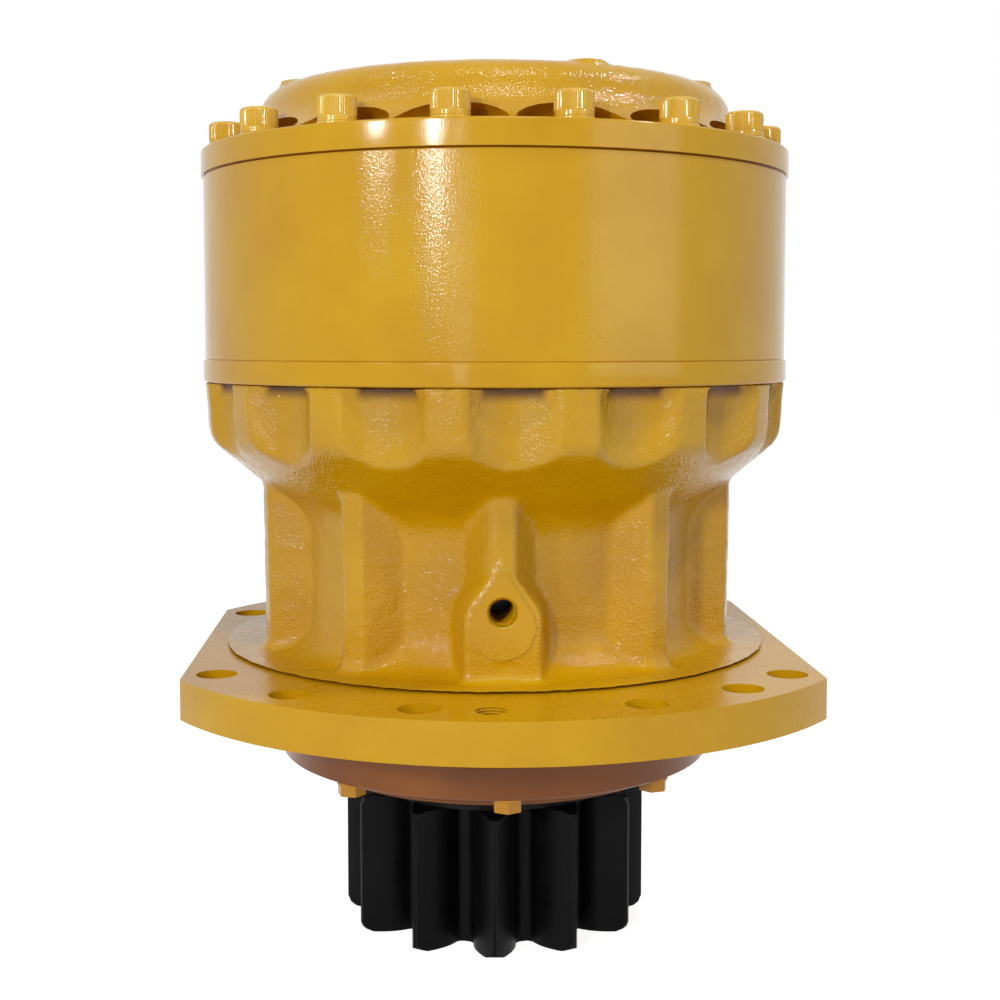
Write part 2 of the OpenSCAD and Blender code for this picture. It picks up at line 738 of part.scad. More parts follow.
module top_cover() {
    edge = 1.5;
    color(paint)
        difference() {
            union() {
                spun([[0, ring_top_z], [cover_r, ring_top_z], [cover_r, cover_top_z - edge],
                    [cover_r - 0.4 * edge, cover_top_z - 0.4 * edge],
                    [cover_r - edge, cover_top_z], [0, cover_top_z]]);
                dome_solid();
                rim_bosses();
            }
            cover_space();
            disc(motor_pilot_r, dome_inner_z - cut, dome_wall + 2 * cut);
            translate([0, 0, dome_inner_z - cut])
                round_copies(motor_screw_count, motor_screw_circle_r, front + motor_screw_turn)
                    cylinder(h = dome_wall + 2 * cut, d = motor_screw_d, $fn = 32);
            screw_holes(screw_d + 1, ring_top_z - cut, cover_flange_t + 2 * cut);
            dowel_holes(ring_top_z - cut, 8 + cut);
            o_ring_groove(o_ring_r, o_ring_d, ring_top_z - fit_gap);
        }
}

// Screws, washers, dowels and rings that close the casings
module socket_screw() {
    socket_af = 0.875 * screw_d;
    edge = 1;
    difference() {
        union() {
            translate([0, 0, -screw_length])
                cylinder(h = screw_length + cut, d = screw_d, $fn = 32);
            cylinder(h = screw_head_h - edge, d = screw_head_d, $fn = 48);
            translate([0, 0, screw_head_h - edge])
                cylinder(h = edge, d1 = screw_head_d, d2 = screw_head_d - 2 * edge, $fn = 48);
        }
        translate([0, 0, screw_head_h / 2])
            cylinder(h = screw_head_h, d = socket_af / cos(30), $fn = 6);
    }
}

module cover_screws() {
    color(paint)
        translate([0, 0, screw_seat_z])
            round_copies(screw_count, screw_circle_r, front + 180 / screw_count)
                socket_screw();
}

module cover_washers() {
    color(paint)
        round_copies(screw_count, screw_circle_r, front + 180 / screw_count)
            ring(washer_d / 2, screw_d / 2 + 0.5, cover_top_z, washer_t);
}

module dowel_pins() {
    color(steel)
        round_copies(2, screw_circle_r, front)
            union() {
                translate([0, 0, housing_top_z - 11])
                    cylinder(h = 22, d = dowel_d, $fn = 32);
                translate([0, 0, ring_top_z - 11])
                    cylinder(h = 18, d = dowel_d, $fn = 32);
            }
}

module o_ring(r, d, z) {
    color(rubber)
        translate([0, 0, z])
            rotate_extrude($fn = 96)
                translate([r, 0])
                    circle(d = d, $fn = 24);
}

module housing_o_ring() {
    o_ring(o_ring_r, o_ring_d, housing_top_z - o_ring_d / 2 - fit_gap);
}

module cover_o_ring() {
    o_ring(o_ring_r, o_ring_d, ring_top_z + o_ring_d / 2 + fit_gap);
}

module retainer_o_ring() {
    o_ring(small_o_ring_r, small_o_ring_d, -spigot_h - small_o_ring_d / 2 - fit_gap);
}

// Seal retainer under the spigot, with its screws, washers and lip seal
module seal_retainer() {
    color(paint)
        difference() {
            spun([[lower_bearing_r - 8, lower_low_z], [lower_bearing_r - fit_gap, lower_low_z],
                [lower_bearing_r - fit_gap, -spigot_h], [retainer_r, -spigot_h],
                [retainer_r, retainer_low_z + 0.8], [retainer_r - 0.8, retainer_low_z],
                [lip_r, retainer_low_z], [lip_r - 2, lip_low_z], [sleeve_r + lip_gap, lip_low_z],
                [sleeve_r + lip_gap, seal_low_z], [seal_r + fit_gap, seal_low_z],
                [seal_r + fit_gap, -spigot_h - 4], [lower_bearing_r - 8, -spigot_h - 4]]);
            translate([0, 0, retainer_low_z - cut])
                round_copies(retainer_screw_count, retainer_screw_circle_r, front)
                    cylinder(h = retainer_t + 2 * cut, d = retainer_screw_d + 1, $fn = 32);
            o_ring_groove(small_o_ring_r, small_o_ring_d, -spigot_h - small_o_ring_d - fit_gap);
        }
}

module retainer_screws() {
    head_h = 7.5;
    length = 40;
    seat_z = retainer_low_z - retainer_washer_t;
    color(paint)
        translate([0, 0, seat_z])
            round_copies(retainer_screw_count, retainer_screw_circle_r, front)
                union() {
                    translate([0, 0, -cut])
                        cylinder(h = length + cut, d = retainer_screw_d, $fn = 32);
                    translate([0, 0, -head_h])
                        cylinder(h = head_h, d = retainer_screw_af / cos(30), $fn = 6);
                }
}

module retainer_washers() {
    color(paint)
        round_copies(retainer_screw_count, retainer_screw_circle_r, front)
            ring(retainer_screw_d, retainer_screw_d / 2 + 0.4, retainer_low_z - retainer_washer_t,
                retainer_washer_t);
}

module oil_seal() {
    lip = sleeve_r + fit_gap;
    top = seal_low_z + seal_h;
    color(rubber)
        spun([[seal_r, seal_low_z + 0.1], [seal_r, top], [seal_r - 3, top],
            [seal_r - 3, seal_low_z + 4], [lip + 6, seal_low_z + 4], [lip + 3, top - 3],
            [lip, top - 5], [lip + 2.5, seal_low_z + 2.5], [lip + 0.6, seal_low_z + 0.1]]);
}

// Tapered roller bearings, drawn about their middle with the wide end up
function taper(pitch_r, roller_r) = atan(roller_r * sin(roller_tilt) / pitch_r);
function race_r(z, pitch_r, angle) = (z + pitch_r / tan(roller_tilt)) * tan(angle);

module bearing_cup(outer_r, pitch_r, roller_r, w) {
    angle = roller_tilt + taper(pitch_r, roller_r);
    spun([[outer_r - fit_gap, -w / 2], [outer_r - fit_gap, w / 2],
        [race_r(w / 2, pitch_r, angle) + fit_gap, w / 2],
        [race_r(-w / 2, pitch_r, angle) + fit_gap, -w / 2]]);
}

module bearing_cone(bore_r, pitch_r, roller_r, roller_l, w) {
    angle = roller_tilt - taper(pitch_r, roller_r);
    reach = roller_l / 2 * cos(roller_tilt);
    rib_z = reach + (roller_r + 1) * sin(roller_tilt);
    lip_z = -reach - 1.5;
    low_r = race_r(-w / 2, pitch_r, angle) - fit_gap;
    spun([[bore_r + fit_gap, -w / 2], [low_r + 2.5, -w / 2], [low_r + 2.5, lip_z],
        [race_r(lip_z, pitch_r, angle) - fit_gap, lip_z],
        [race_r(rib_z, pitch_r, angle) - fit_gap, rib_z],
        [race_r(rib_z, pitch_r, angle) + 5, rib_z], [race_r(rib_z, pitch_r, angle) + 5, w / 2],
        [bore_r + fit_gap, w / 2]]);
}

module taper_roller(pitch_r, roller_r, roller_l, grow) {
    change = roller_l / 2 * tan(taper(pitch_r, roller_r));
    rotate([0, roller_tilt, 0])
        cylinder(h = roller_l + 2 * grow, r1 = roller_r - change + grow, r2 = roller_r + change + grow,
            center = true, $fn = 32);
}

module bearing_rollers(pitch_r, roller_r, roller_l, count) {
    round_copies(count, pitch_r)
        taper_roller(pitch_r, roller_r, roller_l, 0);
}

module bearing_cage(pitch_r, roller_r, roller_l, count) {
    half_t = 1.9;
    reach = roller_l / 2 * cos(roller_tilt) + 4;
    spread = reach * tan(roller_tilt);
    difference() {
        spun([[pitch_r - spread - half_t, -reach], [pitch_r - spread + half_t, -reach],
            [pitch_r + spread + half_t, reach], [pitch_r + spread - half_t, reach]]);
        round_copies(count, pitch_r)
            taper_roller(pitch_r, roller_r, roller_l, run_gap);
    }
}

module in_lower_bearing() {
    translate([0, 0, lower_mid_z])
        mirror([0, 0, 1])
            children();
}

module in_upper_bearing() {
    translate([0, 0, upper_mid_z])
        children();
}

module lower_bearing_cup() {
    color(steel)
        in_lower_bearing()
            bearing_cup(lower_bearing_r, lower_pitch_r, lower_roller_r, lower_bearing_w);
}

module lower_bearing_cone() {
    color(steel)
        in_lower_bearing()
            bearing_cone(lower_seat_r, lower_pitch_r, lower_roller_r, lower_roller_l, lower_bearing_w);
}

module lower_bearing_rollers() {
    color(steel)
        in_lower_bearing()
            bearing_rollers(lower_pitch_r, lower_roller_r, lower_roller_l, lower_roller_count);
}

module lower_bearing_cage() {
    color(bronze)
        in_lower_bearing()
            bearing_cage(lower_pitch_r, lower_roller_r, lower_roller_l, lower_roller_count);
}

module upper_bearing_cup() {
    color(steel)
        in_upper_bearing()
            bearing_cup(upper_bearing_r, upper_pitch_r, upper_roller_r, upper_bearing_w);
}

module upper_bearing_cone() {
    color(steel)
        in_upper_bearing()
            bearing_cone(upper_seat_r, upper_pitch_r, upper_roller_r, upper_roller_l, upper_bearing_w);
}

module upper_bearing_rollers() {
    color(steel)
        in_upper_bearing()
            bearing_rollers(upper_pitch_r, upper_roller_r, upper_roller_l, upper_roller_count);
}

module upper_bearing_cage() {
    color(bronze)
        in_upper_bearing()
            bearing_cage(upper_pitch_r, upper_roller_r, upper_roller_l, upper_roller_count);
}

// Output pinion, forged in one piece with its shaft
module pinion_teeth_solid() {
    pitch_r = pinion_teeth * pinion_module / 2;
    tip_r = pitch_r + pinion_module * (1 + pinion_shift);
    root_r = pitch_r - pinion_module * (1.25 - pinion_shift);
    slope = pinion_end_chamfer;
    intersection() {
        translate([0, 0, pinion_low_z])
            linear_extrude(height = pinion_l)
                rotate([0, 0, front + pinion_turn])
                    polygon(gear_points(pinion_teeth, pinion_module, pinion_shift, 0.1, tip_r + 0.5, root_r,
                        0.38 * pinion_module, 6, 4));
        spun([[0, pinion_low_z - cut], [tip_r - slope - 2, pinion_low_z - cut],
            [tip_r - slope, pinion_low_z], [tip_r - 0.35 * slope, pinion_low_z + 0.3 * slope],
            [tip_r, pinion_low_z + slope], [tip_r, pinion_top_z - slope],
            [tip_r - 0.35 * slope, pinion_top_z - 0.3 * slope], [tip_r - slope, pinion_top_z],
            [tip_r - slope - 2, pinion_top_z + cut], [0, pinion_top_z + cut]]);
    }
}

module shaft_solid() {
    spun([[0, pinion_top_z - 20], [sleeve_seat_r - 12, pinion_top_z - 20],
        [sleeve_seat_r - 12, pinion_top_z - 2], [sleeve_seat_r, pinion_top_z - 2],
        [sleeve_seat_r, lower_low_z], [lower_seat_r, lower_low_z], [lower_seat_r, lower_top_z - 6],
        [barrel_r, lower_top_z - 2], [barrel_r, upper_bearing_z - 8], [upper_seat_r, upper_bearing_z - 4],
        [upper_seat_r, upper_top_z - 1], [thread_r, upper_top_z], [thread_r, lock_nut_top_z + 1],
        [thread_r - 8, lock_nut_top_z + 2], [thread_r - 8, carrier_hub_low_z],
        [0, carrier_hub_low_z]]);
}

module pinion_shaft() {
    color(dark_steel)
        difference() {
            union() {
                pinion_teeth_solid();
                shaft_solid();
                translate([0, 0, carrier_hub_low_z - 2])
                    linear_extrude(height = shaft_end_z - carrier_hub_low_z + 2)
                        spline_2d(spline_teeth, spline_module, 0);
            }
            translate([0, 0, pinion_low_z - cut])
                cylinder(h = pinion_recess_h + cut, r = pinion_recess_r);
            translate([0, 0, pinion_low_z])
                cylinder(h = centre_hole_h, d1 = centre_hole_d, d2 = 4, $fn = 32);
            translate([0, 0, shaft_end_z - end_screw_l])
                round_copies(end_screw_count, end_screw_circle_r)
                    cylinder(h = end_screw_l + cut, d = end_screw_d + 2 * fit_gap, $fn = 32);
        }
}

module seal_sleeve() {
    color(steel)
        ring(sleeve_r, sleeve_seat_r + fit_gap, sleeve_low_z, lower_low_z - sleeve_low_z - run_gap);
}

module bearing_spacer() {
    color(steel)
        ring(barrel_r + spacer_wall, barrel_r + fit_gap, lower_top_z, upper_bearing_z - lower_top_z);
}

module lock_washer() {
    color(steel)
        ring(lock_nut_r - 4, thread_r + fit_gap, upper_top_z, lock_washer_t);
}

module lock_nut() {
    slots = 8;
    color(steel)
        difference() {
            ring(lock_nut_r, thread_r + fit_gap, lock_nut_low_z, lock_nut_h);
            translate([0, 0, lock_nut_low_z - cut])
                round_copies(slots, lock_nut_r)
                    translate([-5, -5, 0])
                        cube([12, 10, lock_nut_h + 2 * cut]);
        }
}

// A carrier body: two plates that stay joined by the webs between its planets
module carrier_bay(z, h, orbit_r, count, window_r, centre_r) {
    difference() {
        disc(carrier_r, z - 0.5, h + 1);
        disc(centre_r, z - cut, h + 2 * cut);
        translate([0, 0, z - cut])
            round_copies(count, orbit_r)
                cylinder(h = h + 2 * cut, r = window_r, $fn = 64);
    }
}

module output_carrier() {
    window_r = output_planet_teeth * gear_module / 2 + gear_module + 3;
    sun_gap_r = output_sun_teeth * gear_module / 2 + gear_module + 3;
    plate_low_z = output_plate_top_z - output_plate_t;
    color(iron)
        difference() {
            union() {
                disc(carrier_hub_r, carrier_hub_low_z, plate_low_z - carrier_hub_low_z + 1);
                disc(carrier_r, plate_low_z, output_plate_t);
                carrier_bay(output_plate_top_z, output_bay_h, output_orbit_r, output_planets,
                    window_r, sun_gap_r);
                ring(carrier_r, sun_gap_r, output_upper_z, upper_plate_t);
            }
            translate([0, 0, carrier_hub_low_z - cut])
                linear_extrude(height = shaft_end_z - carrier_hub_low_z + cut)
                    spline_2d(spline_teeth, spline_module, fit_gap);
            disc(end_plate_r + 0.5, shaft_end_z, output_plate_top_z - shaft_end_z + cut);
            translate([0, 0, plate_low_z + output_pin_floor])
                round_copies(output_planets, output_orbit_r)
                    cylinder(h = output_upper_z + upper_plate_t - plate_low_z, r = output_pin_r + fit_gap,
                        $fn = 64);
        }
}

module output_planet_pins() {
    color(steel)
        translate([0, 0, output_pin_low_z])
            round_copies(output_planets, output_orbit_r)
                cylinder(h = output_upper_z + upper_plate_t - output_pin_low_z, r = output_pin_r, $fn = 64);
}

module output_thrust_washers() {
    washer_r = output_bore_r + 9;
    color(bronze)
        for (z = [output_plate_top_z, output_upper_z - thrust_t + fit_gap])
            round_copies(output_planets, output_orbit_r)
                ring(washer_r, output_pin_r + fit_gap, z, thrust_t - fit_gap);
}

module carrier_end_plate() {
    color(steel)
        difference() {
            disc(end_plate_r, end_plate_low_z, end_plate_t);
            translate([0, 0, end_plate_low_z - cut])
                round_copies(end_screw_count, end_screw_circle_r)
                    cylinder(h = end_plate_t + 2 * cut, d = end_screw_d + 1, $fn = 32);
        }
}

module end_plate_screws() {
    seat_z = end_plate_low_z + end_plate_t;
    color(dark_steel)
        translate([0, 0, seat_z])
            round_copies(end_screw_count, end_screw_circle_r)
                union() {
                    translate([0, 0, -end_screw_l])
                        cylinder(h = end_screw_l + cut, d = end_screw_d, $fn = 32);
                    cylinder(h = end_screw_head_h, d = end_screw_af / cos(30), $fn = 6);
                }
}

module carrier_thrust_ring() {
    inner_r = input_hub_r + thrust_ring_gap;
    color(bronze)
        ring(inner_r + thrust_ring_w, inner_r, output_upper_z + upper_plate_t, thrust_ring_t);
}

// One planet gear, with its bore, at its place in the ring
module planet(orbit_a, orbit_r, teeth, sun_teeth, sun_phase, z, h, bore_r) {
    color(steel)
        rotate([0, 0, orbit_a])
            translate([orbit_r, 0, z])
                difference() {
                    linear_extrude(height = h)
                        planet_gear_2d(teeth, planet_phase(orbit_a, sun_teeth, sun_phase, teeth) - orbit_a);
                    translate([0, 0, -cut])
                        cylinder(h = h + 2 * cut, r = bore_r, $fn = 64);
                }
}

// The loose rollers between a planet and its pin
module planet_rollers(orbit_a, orbit_r, count, roller_r, pin_r, z, h) {
    color(steel)
        rotate([0, 0, orbit_a])
            translate([orbit_r, 0, z + 1])
                round_copies(count, pin_r + roller_r + fit_gap)
                    cylinder(h = h - 2, r = roller_r, $fn = 24);
}

module output_planet(i) {
    planet(i * 360 / output_planets, output_orbit_r, output_planet_teeth, output_sun_teeth,
        output_sun_phase, output_gear_z, output_face_w, output_bore_r);
}

module output_planet_rollers(i) {
    planet_rollers(i * 360 / output_planets, output_orbit_r, output_rollers, output_roller_r,
        output_pin_r, output_gear_z, output_face_w);
}

module input_planet(i) {
    planet(i * 360 / input_planets, input_orbit_r, input_planet_teeth, input_sun_teeth,
        input_sun_phase, input_gear_z, input_face_w, input_bore_r);
}

module input_planet_rollers(i) {
    planet_rollers(i * 360 / input_planets, input_orbit_r, input_rollers, input_roller_r,
        input_pin_r, input_gear_z, input_face_w);
}

module output_planet_1() { output_planet(0); }
module output_planet_2() { output_planet(1); }
module output_planet_3() { output_planet(2); }
module output_planet_4() { output_planet(3); }
module output_planet_rollers_1() { output_planet_rollers(0); }
module output_planet_rollers_2() { output_planet_rollers(1); }
module output_planet_rollers_3() { output_planet_rollers(2); }
module output_planet_rollers_4() { output_planet_rollers(3); }
module input_planet_1() { input_planet(0); }
module input_planet_2() { input_planet(1); }
module input_planet_3() { input_planet(2); }
module input_planet_rollers_1() { input_planet_rollers(0); }
module input_planet_rollers_2() { input_planet_rollers(1); }
module input_planet_rollers_3() { input_planet_rollers(2); }

// Output sun gear, whose splined end turns with the input carrier
module output_sun_gear() {
    gear_low_z = output_gear_z + 1;
    gear_top_z = output_gear_z + output_face_w + 1;
    color(steel)
        difference() {
            union() {
                translate([0, 0, gear_low_z])
                    linear_extrude(height = gear_top_z - gear_low_z)
                        planet_gear_2d(output_sun_teeth, output_sun_phase);
                disc(sun_neck_r, gear_top_z - 1, input_hub_low_z - gear_top_z + 3);
                translate([0, 0, input_hub_low_z])
                    linear_extrude(height = input_bay_z - input_hub_low_z - run_gap)
                        spline_2d(sun_spline_teeth, sun_spline_module, 0);
            }
            disc(sun_bore_r, gear_low_z - cut, input_bay_z - gear_low_z + 2 * cut);
        }
}

module input_carrier() {
    window_r = input_planet_teeth * gear_module / 2 + gear_module + 3;
    sun_gap_r = input_sun_teeth * gear_module / 2 + gear_module + 3;
    bay_h = input_upper_z - input_bay_z;
    color(iron)
        difference() {
            union() {
                disc(input_hub_r, input_hub_low_z, input_lower_z - input_hub_low_z + 1);
                disc(carrier_r, input_lower_z, input_plate_t);
                carrier_bay(input_bay_z, bay_h, input_orbit_r, input_planets, window_r, sun_gap_r);
                ring(carrier_r, sun_gap_r, input_upper_z, input_plate_t);
            }
            translate([0, 0, input_hub_low_z - cut])
                linear_extrude(height = input_bay_z - input_hub_low_z + 2 * cut)
                    spline_2d(sun_spline_teeth, sun_spline_module, fit_gap);
            translate([0, 0, input_lower_z + input_pin_floor])
                round_copies(input_planets, input_orbit_r)
                    cylinder(h = input_upper_z + input_plate_t - input_lower_z, r = input_pin_r + fit_gap,
                        $fn = 64);
        }
}

module input_planet_pins() {
    pin_low_z = input_lower_z + input_pin_floor + run_gap;
    color(steel)
        translate([0, 0, pin_low_z])
            round_copies(input_planets, input_orbit_r)
                cylinder(h = input_upper_z + input_plate_t - pin_low_z, r = input_pin_r, $fn = 64);
}

module input_thrust_washers() {
    washer_r = input_bore_r + 8;
    color(bronze)
        for (z = [input_bay_z, input_upper_z - thrust_t + fit_gap])
            round_copies(input_planets, input_orbit_r)
                ring(washer_r, input_pin_r + fit_gap, z, thrust_t - fit_gap);
}

module sun_thrust_washer() {
    color(bronze)
        ring(sun_washer_r, sun_bore_r + 2, input_bay_z, thrust_t - fit_gap);
}

// Input sun gear, with a splined bore for the motor shaft
module input_sun_gear() {
    gear_low_z = input_gear_z + run_gap;
    gear_top_z = input_gear_z + input_face_w + 2;
    end_z = dome_inner_z - 6;
    color(steel)
        difference() {
            union() {
                translate([0, 0, gear_low_z])
                    linear_extrude(height = gear_top_z - gear_low_z)
                        planet_gear_2d(input_sun_teeth, input_sun_phase);
                disc(motor_hub_r, gear_top_z - 1, end_z - gear_top_z + 1);
            }
            translate([0, 0, gear_top_z + 2])
                linear_extrude(height = end_z - gear_top_z)
                    spline_2d(motor_spline_teeth, motor_spline_module, 0);
            disc(motor_sun_bore_r, gear_low_z - cut, gear_top_z - gear_low_z + 4);
        }
}

gear_housing();
ring_gear();
top_cover();
cover_screws();
cover_washers();
dowel_pins();
housing_o_ring();
cover_o_ring();
retainer_o_ring();
seal_retainer();
retainer_screws();
retainer_washers();
oil_seal();
lower_bearing_cup();
upper_bearing_cup();
pinion_shaft();
seal_sleeve();
lower_bearing_cone();
bearing_spacer();
upper_bearing_cone();
lock_washer();
lock_nut();
lower_bearing_rollers();
lower_bearing_cage();
upper_bearing_rollers();
upper_bearing_cage();
output_carrier();
output_planet_pins();
output_thrust_washers();
carrier_end_plate();
end_plate_screws();
carrier_thrust_ring();
output_planet_1();
output_planet_2();
output_planet_3();
output_planet_4();
output_planet_rollers_1();
output_planet_rollers_2();
output_planet_rollers_3();
output_planet_rollers_4();
output_sun_gear();
input_carrier();
input_planet_pins();
input_thrust_washers();
sun_thrust_washer();
input_planet_1();
input_planet_2();
input_planet_3();
input_planet_rollers_1();
input_planet_rollers_2();
input_planet_rollers_3();
input_sun_gear();
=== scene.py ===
# Swing gearbox from an excavator, dressed for a plain studio shot.
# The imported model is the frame: every piece below is built in its place, in metres.
import bpy
import bmesh
import json
from math import atan2, cos, degrees, hypot, pi, radians, sin
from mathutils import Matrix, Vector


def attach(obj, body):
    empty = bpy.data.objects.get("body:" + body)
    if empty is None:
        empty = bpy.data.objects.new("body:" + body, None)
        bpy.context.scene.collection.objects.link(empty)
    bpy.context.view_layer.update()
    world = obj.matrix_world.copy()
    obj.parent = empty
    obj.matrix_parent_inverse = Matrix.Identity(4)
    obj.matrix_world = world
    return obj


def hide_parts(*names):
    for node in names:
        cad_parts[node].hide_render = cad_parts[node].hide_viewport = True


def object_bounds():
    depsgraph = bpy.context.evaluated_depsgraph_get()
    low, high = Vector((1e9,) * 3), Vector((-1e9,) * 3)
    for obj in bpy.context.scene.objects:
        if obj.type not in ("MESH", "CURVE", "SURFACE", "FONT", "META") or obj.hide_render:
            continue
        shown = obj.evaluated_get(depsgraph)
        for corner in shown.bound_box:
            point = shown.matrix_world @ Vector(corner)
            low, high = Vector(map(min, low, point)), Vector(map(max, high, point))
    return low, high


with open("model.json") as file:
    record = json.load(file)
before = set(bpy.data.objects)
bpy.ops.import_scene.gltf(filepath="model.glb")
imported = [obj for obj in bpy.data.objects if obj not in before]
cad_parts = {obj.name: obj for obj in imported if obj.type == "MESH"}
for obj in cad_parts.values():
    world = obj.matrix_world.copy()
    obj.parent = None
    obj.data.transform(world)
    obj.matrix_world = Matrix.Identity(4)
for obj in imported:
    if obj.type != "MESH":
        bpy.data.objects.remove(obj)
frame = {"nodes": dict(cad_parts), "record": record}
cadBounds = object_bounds()
nodes = frame["nodes"]
mm = 0.001
print("frame loaded:", len(nodes), "nodes")


# Small helpers

def clearSelection():
    if bpy.context.object and bpy.context.object.mode != "OBJECT":
        bpy.ops.object.mode_set(mode="OBJECT")
    bpy.ops.object.select_all(action="DESELECT")


def pick(obj):
    clearSelection()
    obj.select_set(True)
    bpy.context.view_layer.objects.active = obj
    return obj


def modify(obj, kind, **values):
    # adds a modifier, sets it up and applies it at once
    pick(obj)
    mod = obj.modifiers.new(kind.title(), kind)
    for key, value in values.items():
        setattr(mod, key, value)
    bpy.ops.object.modifier_apply(modifier=mod.name)


def joinAll(parts, name):
    clearSelection()
    for part in parts:
        part.select_set(True)
    bpy.context.view_layer.objects.active = parts[0]
    if len(parts) > 1:
        bpy.ops.object.join()
    parts[0].name = name
    return parts[0]


def settle(obj):
    # the piece's place goes into its mesh
    pick(obj)
    bpy.ops.object.transform_apply(location=True, rotation=True, scale=True)
    return obj


def weldedCopy(node, name):
    # a copy of a CAD node with its loose triangles merged into one skin
    obj = nodes[node].copy()
    obj.data = nodes[node].data.copy()
    obj.name = name
    obj.parent = None
    for key in list(obj.keys()):
        del obj[key]
    bpy.context.scene.collection.objects.link(obj)
    obj.hide_render = False
    obj.hide_viewport = False
    pick(obj)
    bpy.ops.mesh.customdata_custom_splitnormals_clear()
    bpy.ops.object.mode_set(mode="EDIT")
    bpy.ops.mesh.select_all(action="SELECT")
    bpy.ops.mesh.remove_doubles(threshold=0.000004)
    bpy.ops.object.mode_set(mode="OBJECT")
    return obj


def turnedPiece(name, profile, sides=192):
    # a closed ring turned from (radius, height) pairs in millimetres
    clearSelection()
    radius, height = profile[0]
    bpy.ops.mesh.primitive_circle_add(vertices=sides, radius=radius * mm, location=(0, 0, height * mm))
    obj = bpy.context.object
    obj.name = name
    bpy.ops.object.mode_set(mode="EDIT")
    bpy.ops.mesh.select_all(action="SELECT")
    for r, z in profile[1:]:
        bpy.ops.mesh.extrude_region_move(TRANSFORM_OT_translate={"value": (0, 0, (z - height) * mm)})
        bpy.ops.transform.resize(value=(r / radius, r / radius, 1), center_override=(0, 0, 0))
        radius, height = r, z
    bpy.ops.mesh.select_all(action="DESELECT")
    bpy.ops.mesh.select_mode(type="EDGE")
    bpy.ops.mesh.select_non_manifold()
    bpy.ops.mesh.bridge_edge_loops()
    bpy.ops.mesh.select_all(action="SELECT")
    bpy.ops.mesh.normals_make_consistent(inside=False)
    bpy.ops.object.mode_set(mode="OBJECT")
    return settle(obj)


def rod(x, y, low, high, radius, sides=48, tip=None):
    # an upright cylinder or cone in millimetres, mostly used to drill with
    clearSelection()
    depth = (high - low) * mm
    place = (x * mm, y * mm, (low + high) / 2 * mm)
    if tip is None:
        bpy.ops.mesh.primitive_cylinder_add(vertices=sides, radius=radius * mm, depth=depth, location=place)
    else:
        bpy.ops.mesh.primitive_cone_add(vertices=sides, radius1=radius * mm, radius2=tip * mm, depth=depth,
                                        location=place)
    return settle(bpy.context.object)


def aroundCircle(count, radius, first):
    # places on a circle, in millimetres
    return [(radius * cos(radians(first + i * 360 / count)), radius * sin(radians(first + i * 360 / count)))
            for i in range(count)]


def cutAway(obj, cutters):
    for cutter in cutters:
        modify(obj, "BOOLEAN", operation="DIFFERENCE", solver="EXACT", object=cutter)
        bpy.data.objects.remove(cutter)


def smoothByAngle(obj, angle=32, weighted=False):
    pick(obj)
    bpy.ops.object.shade_smooth_by_angle(angle=radians(angle))
    if weighted:
        # large faces stay flat, and only the small edge faces turn the light
        modify(obj, "WEIGHTED_NORMAL", mode="FACE_AREA", weight=50, keep_sharp=True)


def softenEdges(obj, width, angle=35, segments=2):
    modify(obj, "BEVEL", width=width * mm, limit_method="ANGLE", angle_limit=radians(angle), segments=segments,
           use_clamp_overlap=True, harden_normals=False)
    smoothByAngle(obj, 50, weighted=True)


def wearFinish(obj, material, slotName, body, *standsFor):
    obj.data.materials.clear()
    obj.data.materials.append(material)
    for face in obj.data.polygons:
        face.material_index = 0
    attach(obj, body)
    if standsFor:
        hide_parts(*standsFor)
    return obj


def triangleCount(obj):
    return sum(len(face.vertices) - 2 for face in obj.data.polygons)


def deleteFaces(obj, wanted):
    # removes the faces whose corners all pass the test
    pick(obj)
    mesh = bmesh.new()
    mesh.from_mesh(obj.data)
    doomed = [face for face in mesh.faces if all(wanted(v.co / mm) for v in face.verts)]
    bmesh.ops.delete(mesh, geom=doomed, context="FACES")
    mesh.to_mesh(obj.data)
    mesh.free()


def trimBelow(obj, height):
    pick(obj)
    bpy.ops.object.mode_set(mode="EDIT")
    bpy.ops.mesh.select_all(action="SELECT")
    bpy.ops.mesh.bisect(plane_co=(0, 0, height * mm), plane_no=(0, 0, 1), clear_inner=True)
    bpy.ops.object.mode_set(mode="OBJECT")


def trimAbove(obj, height):
    pick(obj)
    bpy.ops.object.mode_set(mode="EDIT")
    bpy.ops.mesh.select_all(action="SELECT")
    bpy.ops.mesh.bisect(plane_co=(0, 0, height * mm), plane_no=(0, 0, 1), clear_outer=True)
    bpy.ops.object.mode_set(mode="OBJECT")


def closeHoles(obj):
    pick(obj)
    bpy.ops.object.mode_set(mode="EDIT")
    bpy.ops.mesh.select_mode(type="VERT")
    bpy.ops.mesh.select_all(action="SELECT")
    bpy.ops.mesh.fill_holes(sides=0)
    bpy.ops.mesh.quads_convert_to_tris()
    bpy.ops.mesh.select_all(action="SELECT")
    bpy.ops.mesh.normals_make_consistent(inside=False)
    bpy.ops.object.mode_set(mode="OBJECT")


def markVertices(obj, name, strength):
    group = obj.vertex_groups.new(name=name)
    for vertex in obj.data.vertices:
        amount = strength(vertex.co / mm)
        if amount > 0:
            group.add([vertex.index], amount, "REPLACE")


def lumpTexture(name, size, depth=2):
    texture = bpy.data.textures.new(name, "CLOUDS")
    texture.noise_scale = size * mm
    texture.noise_depth = depth
    return texture


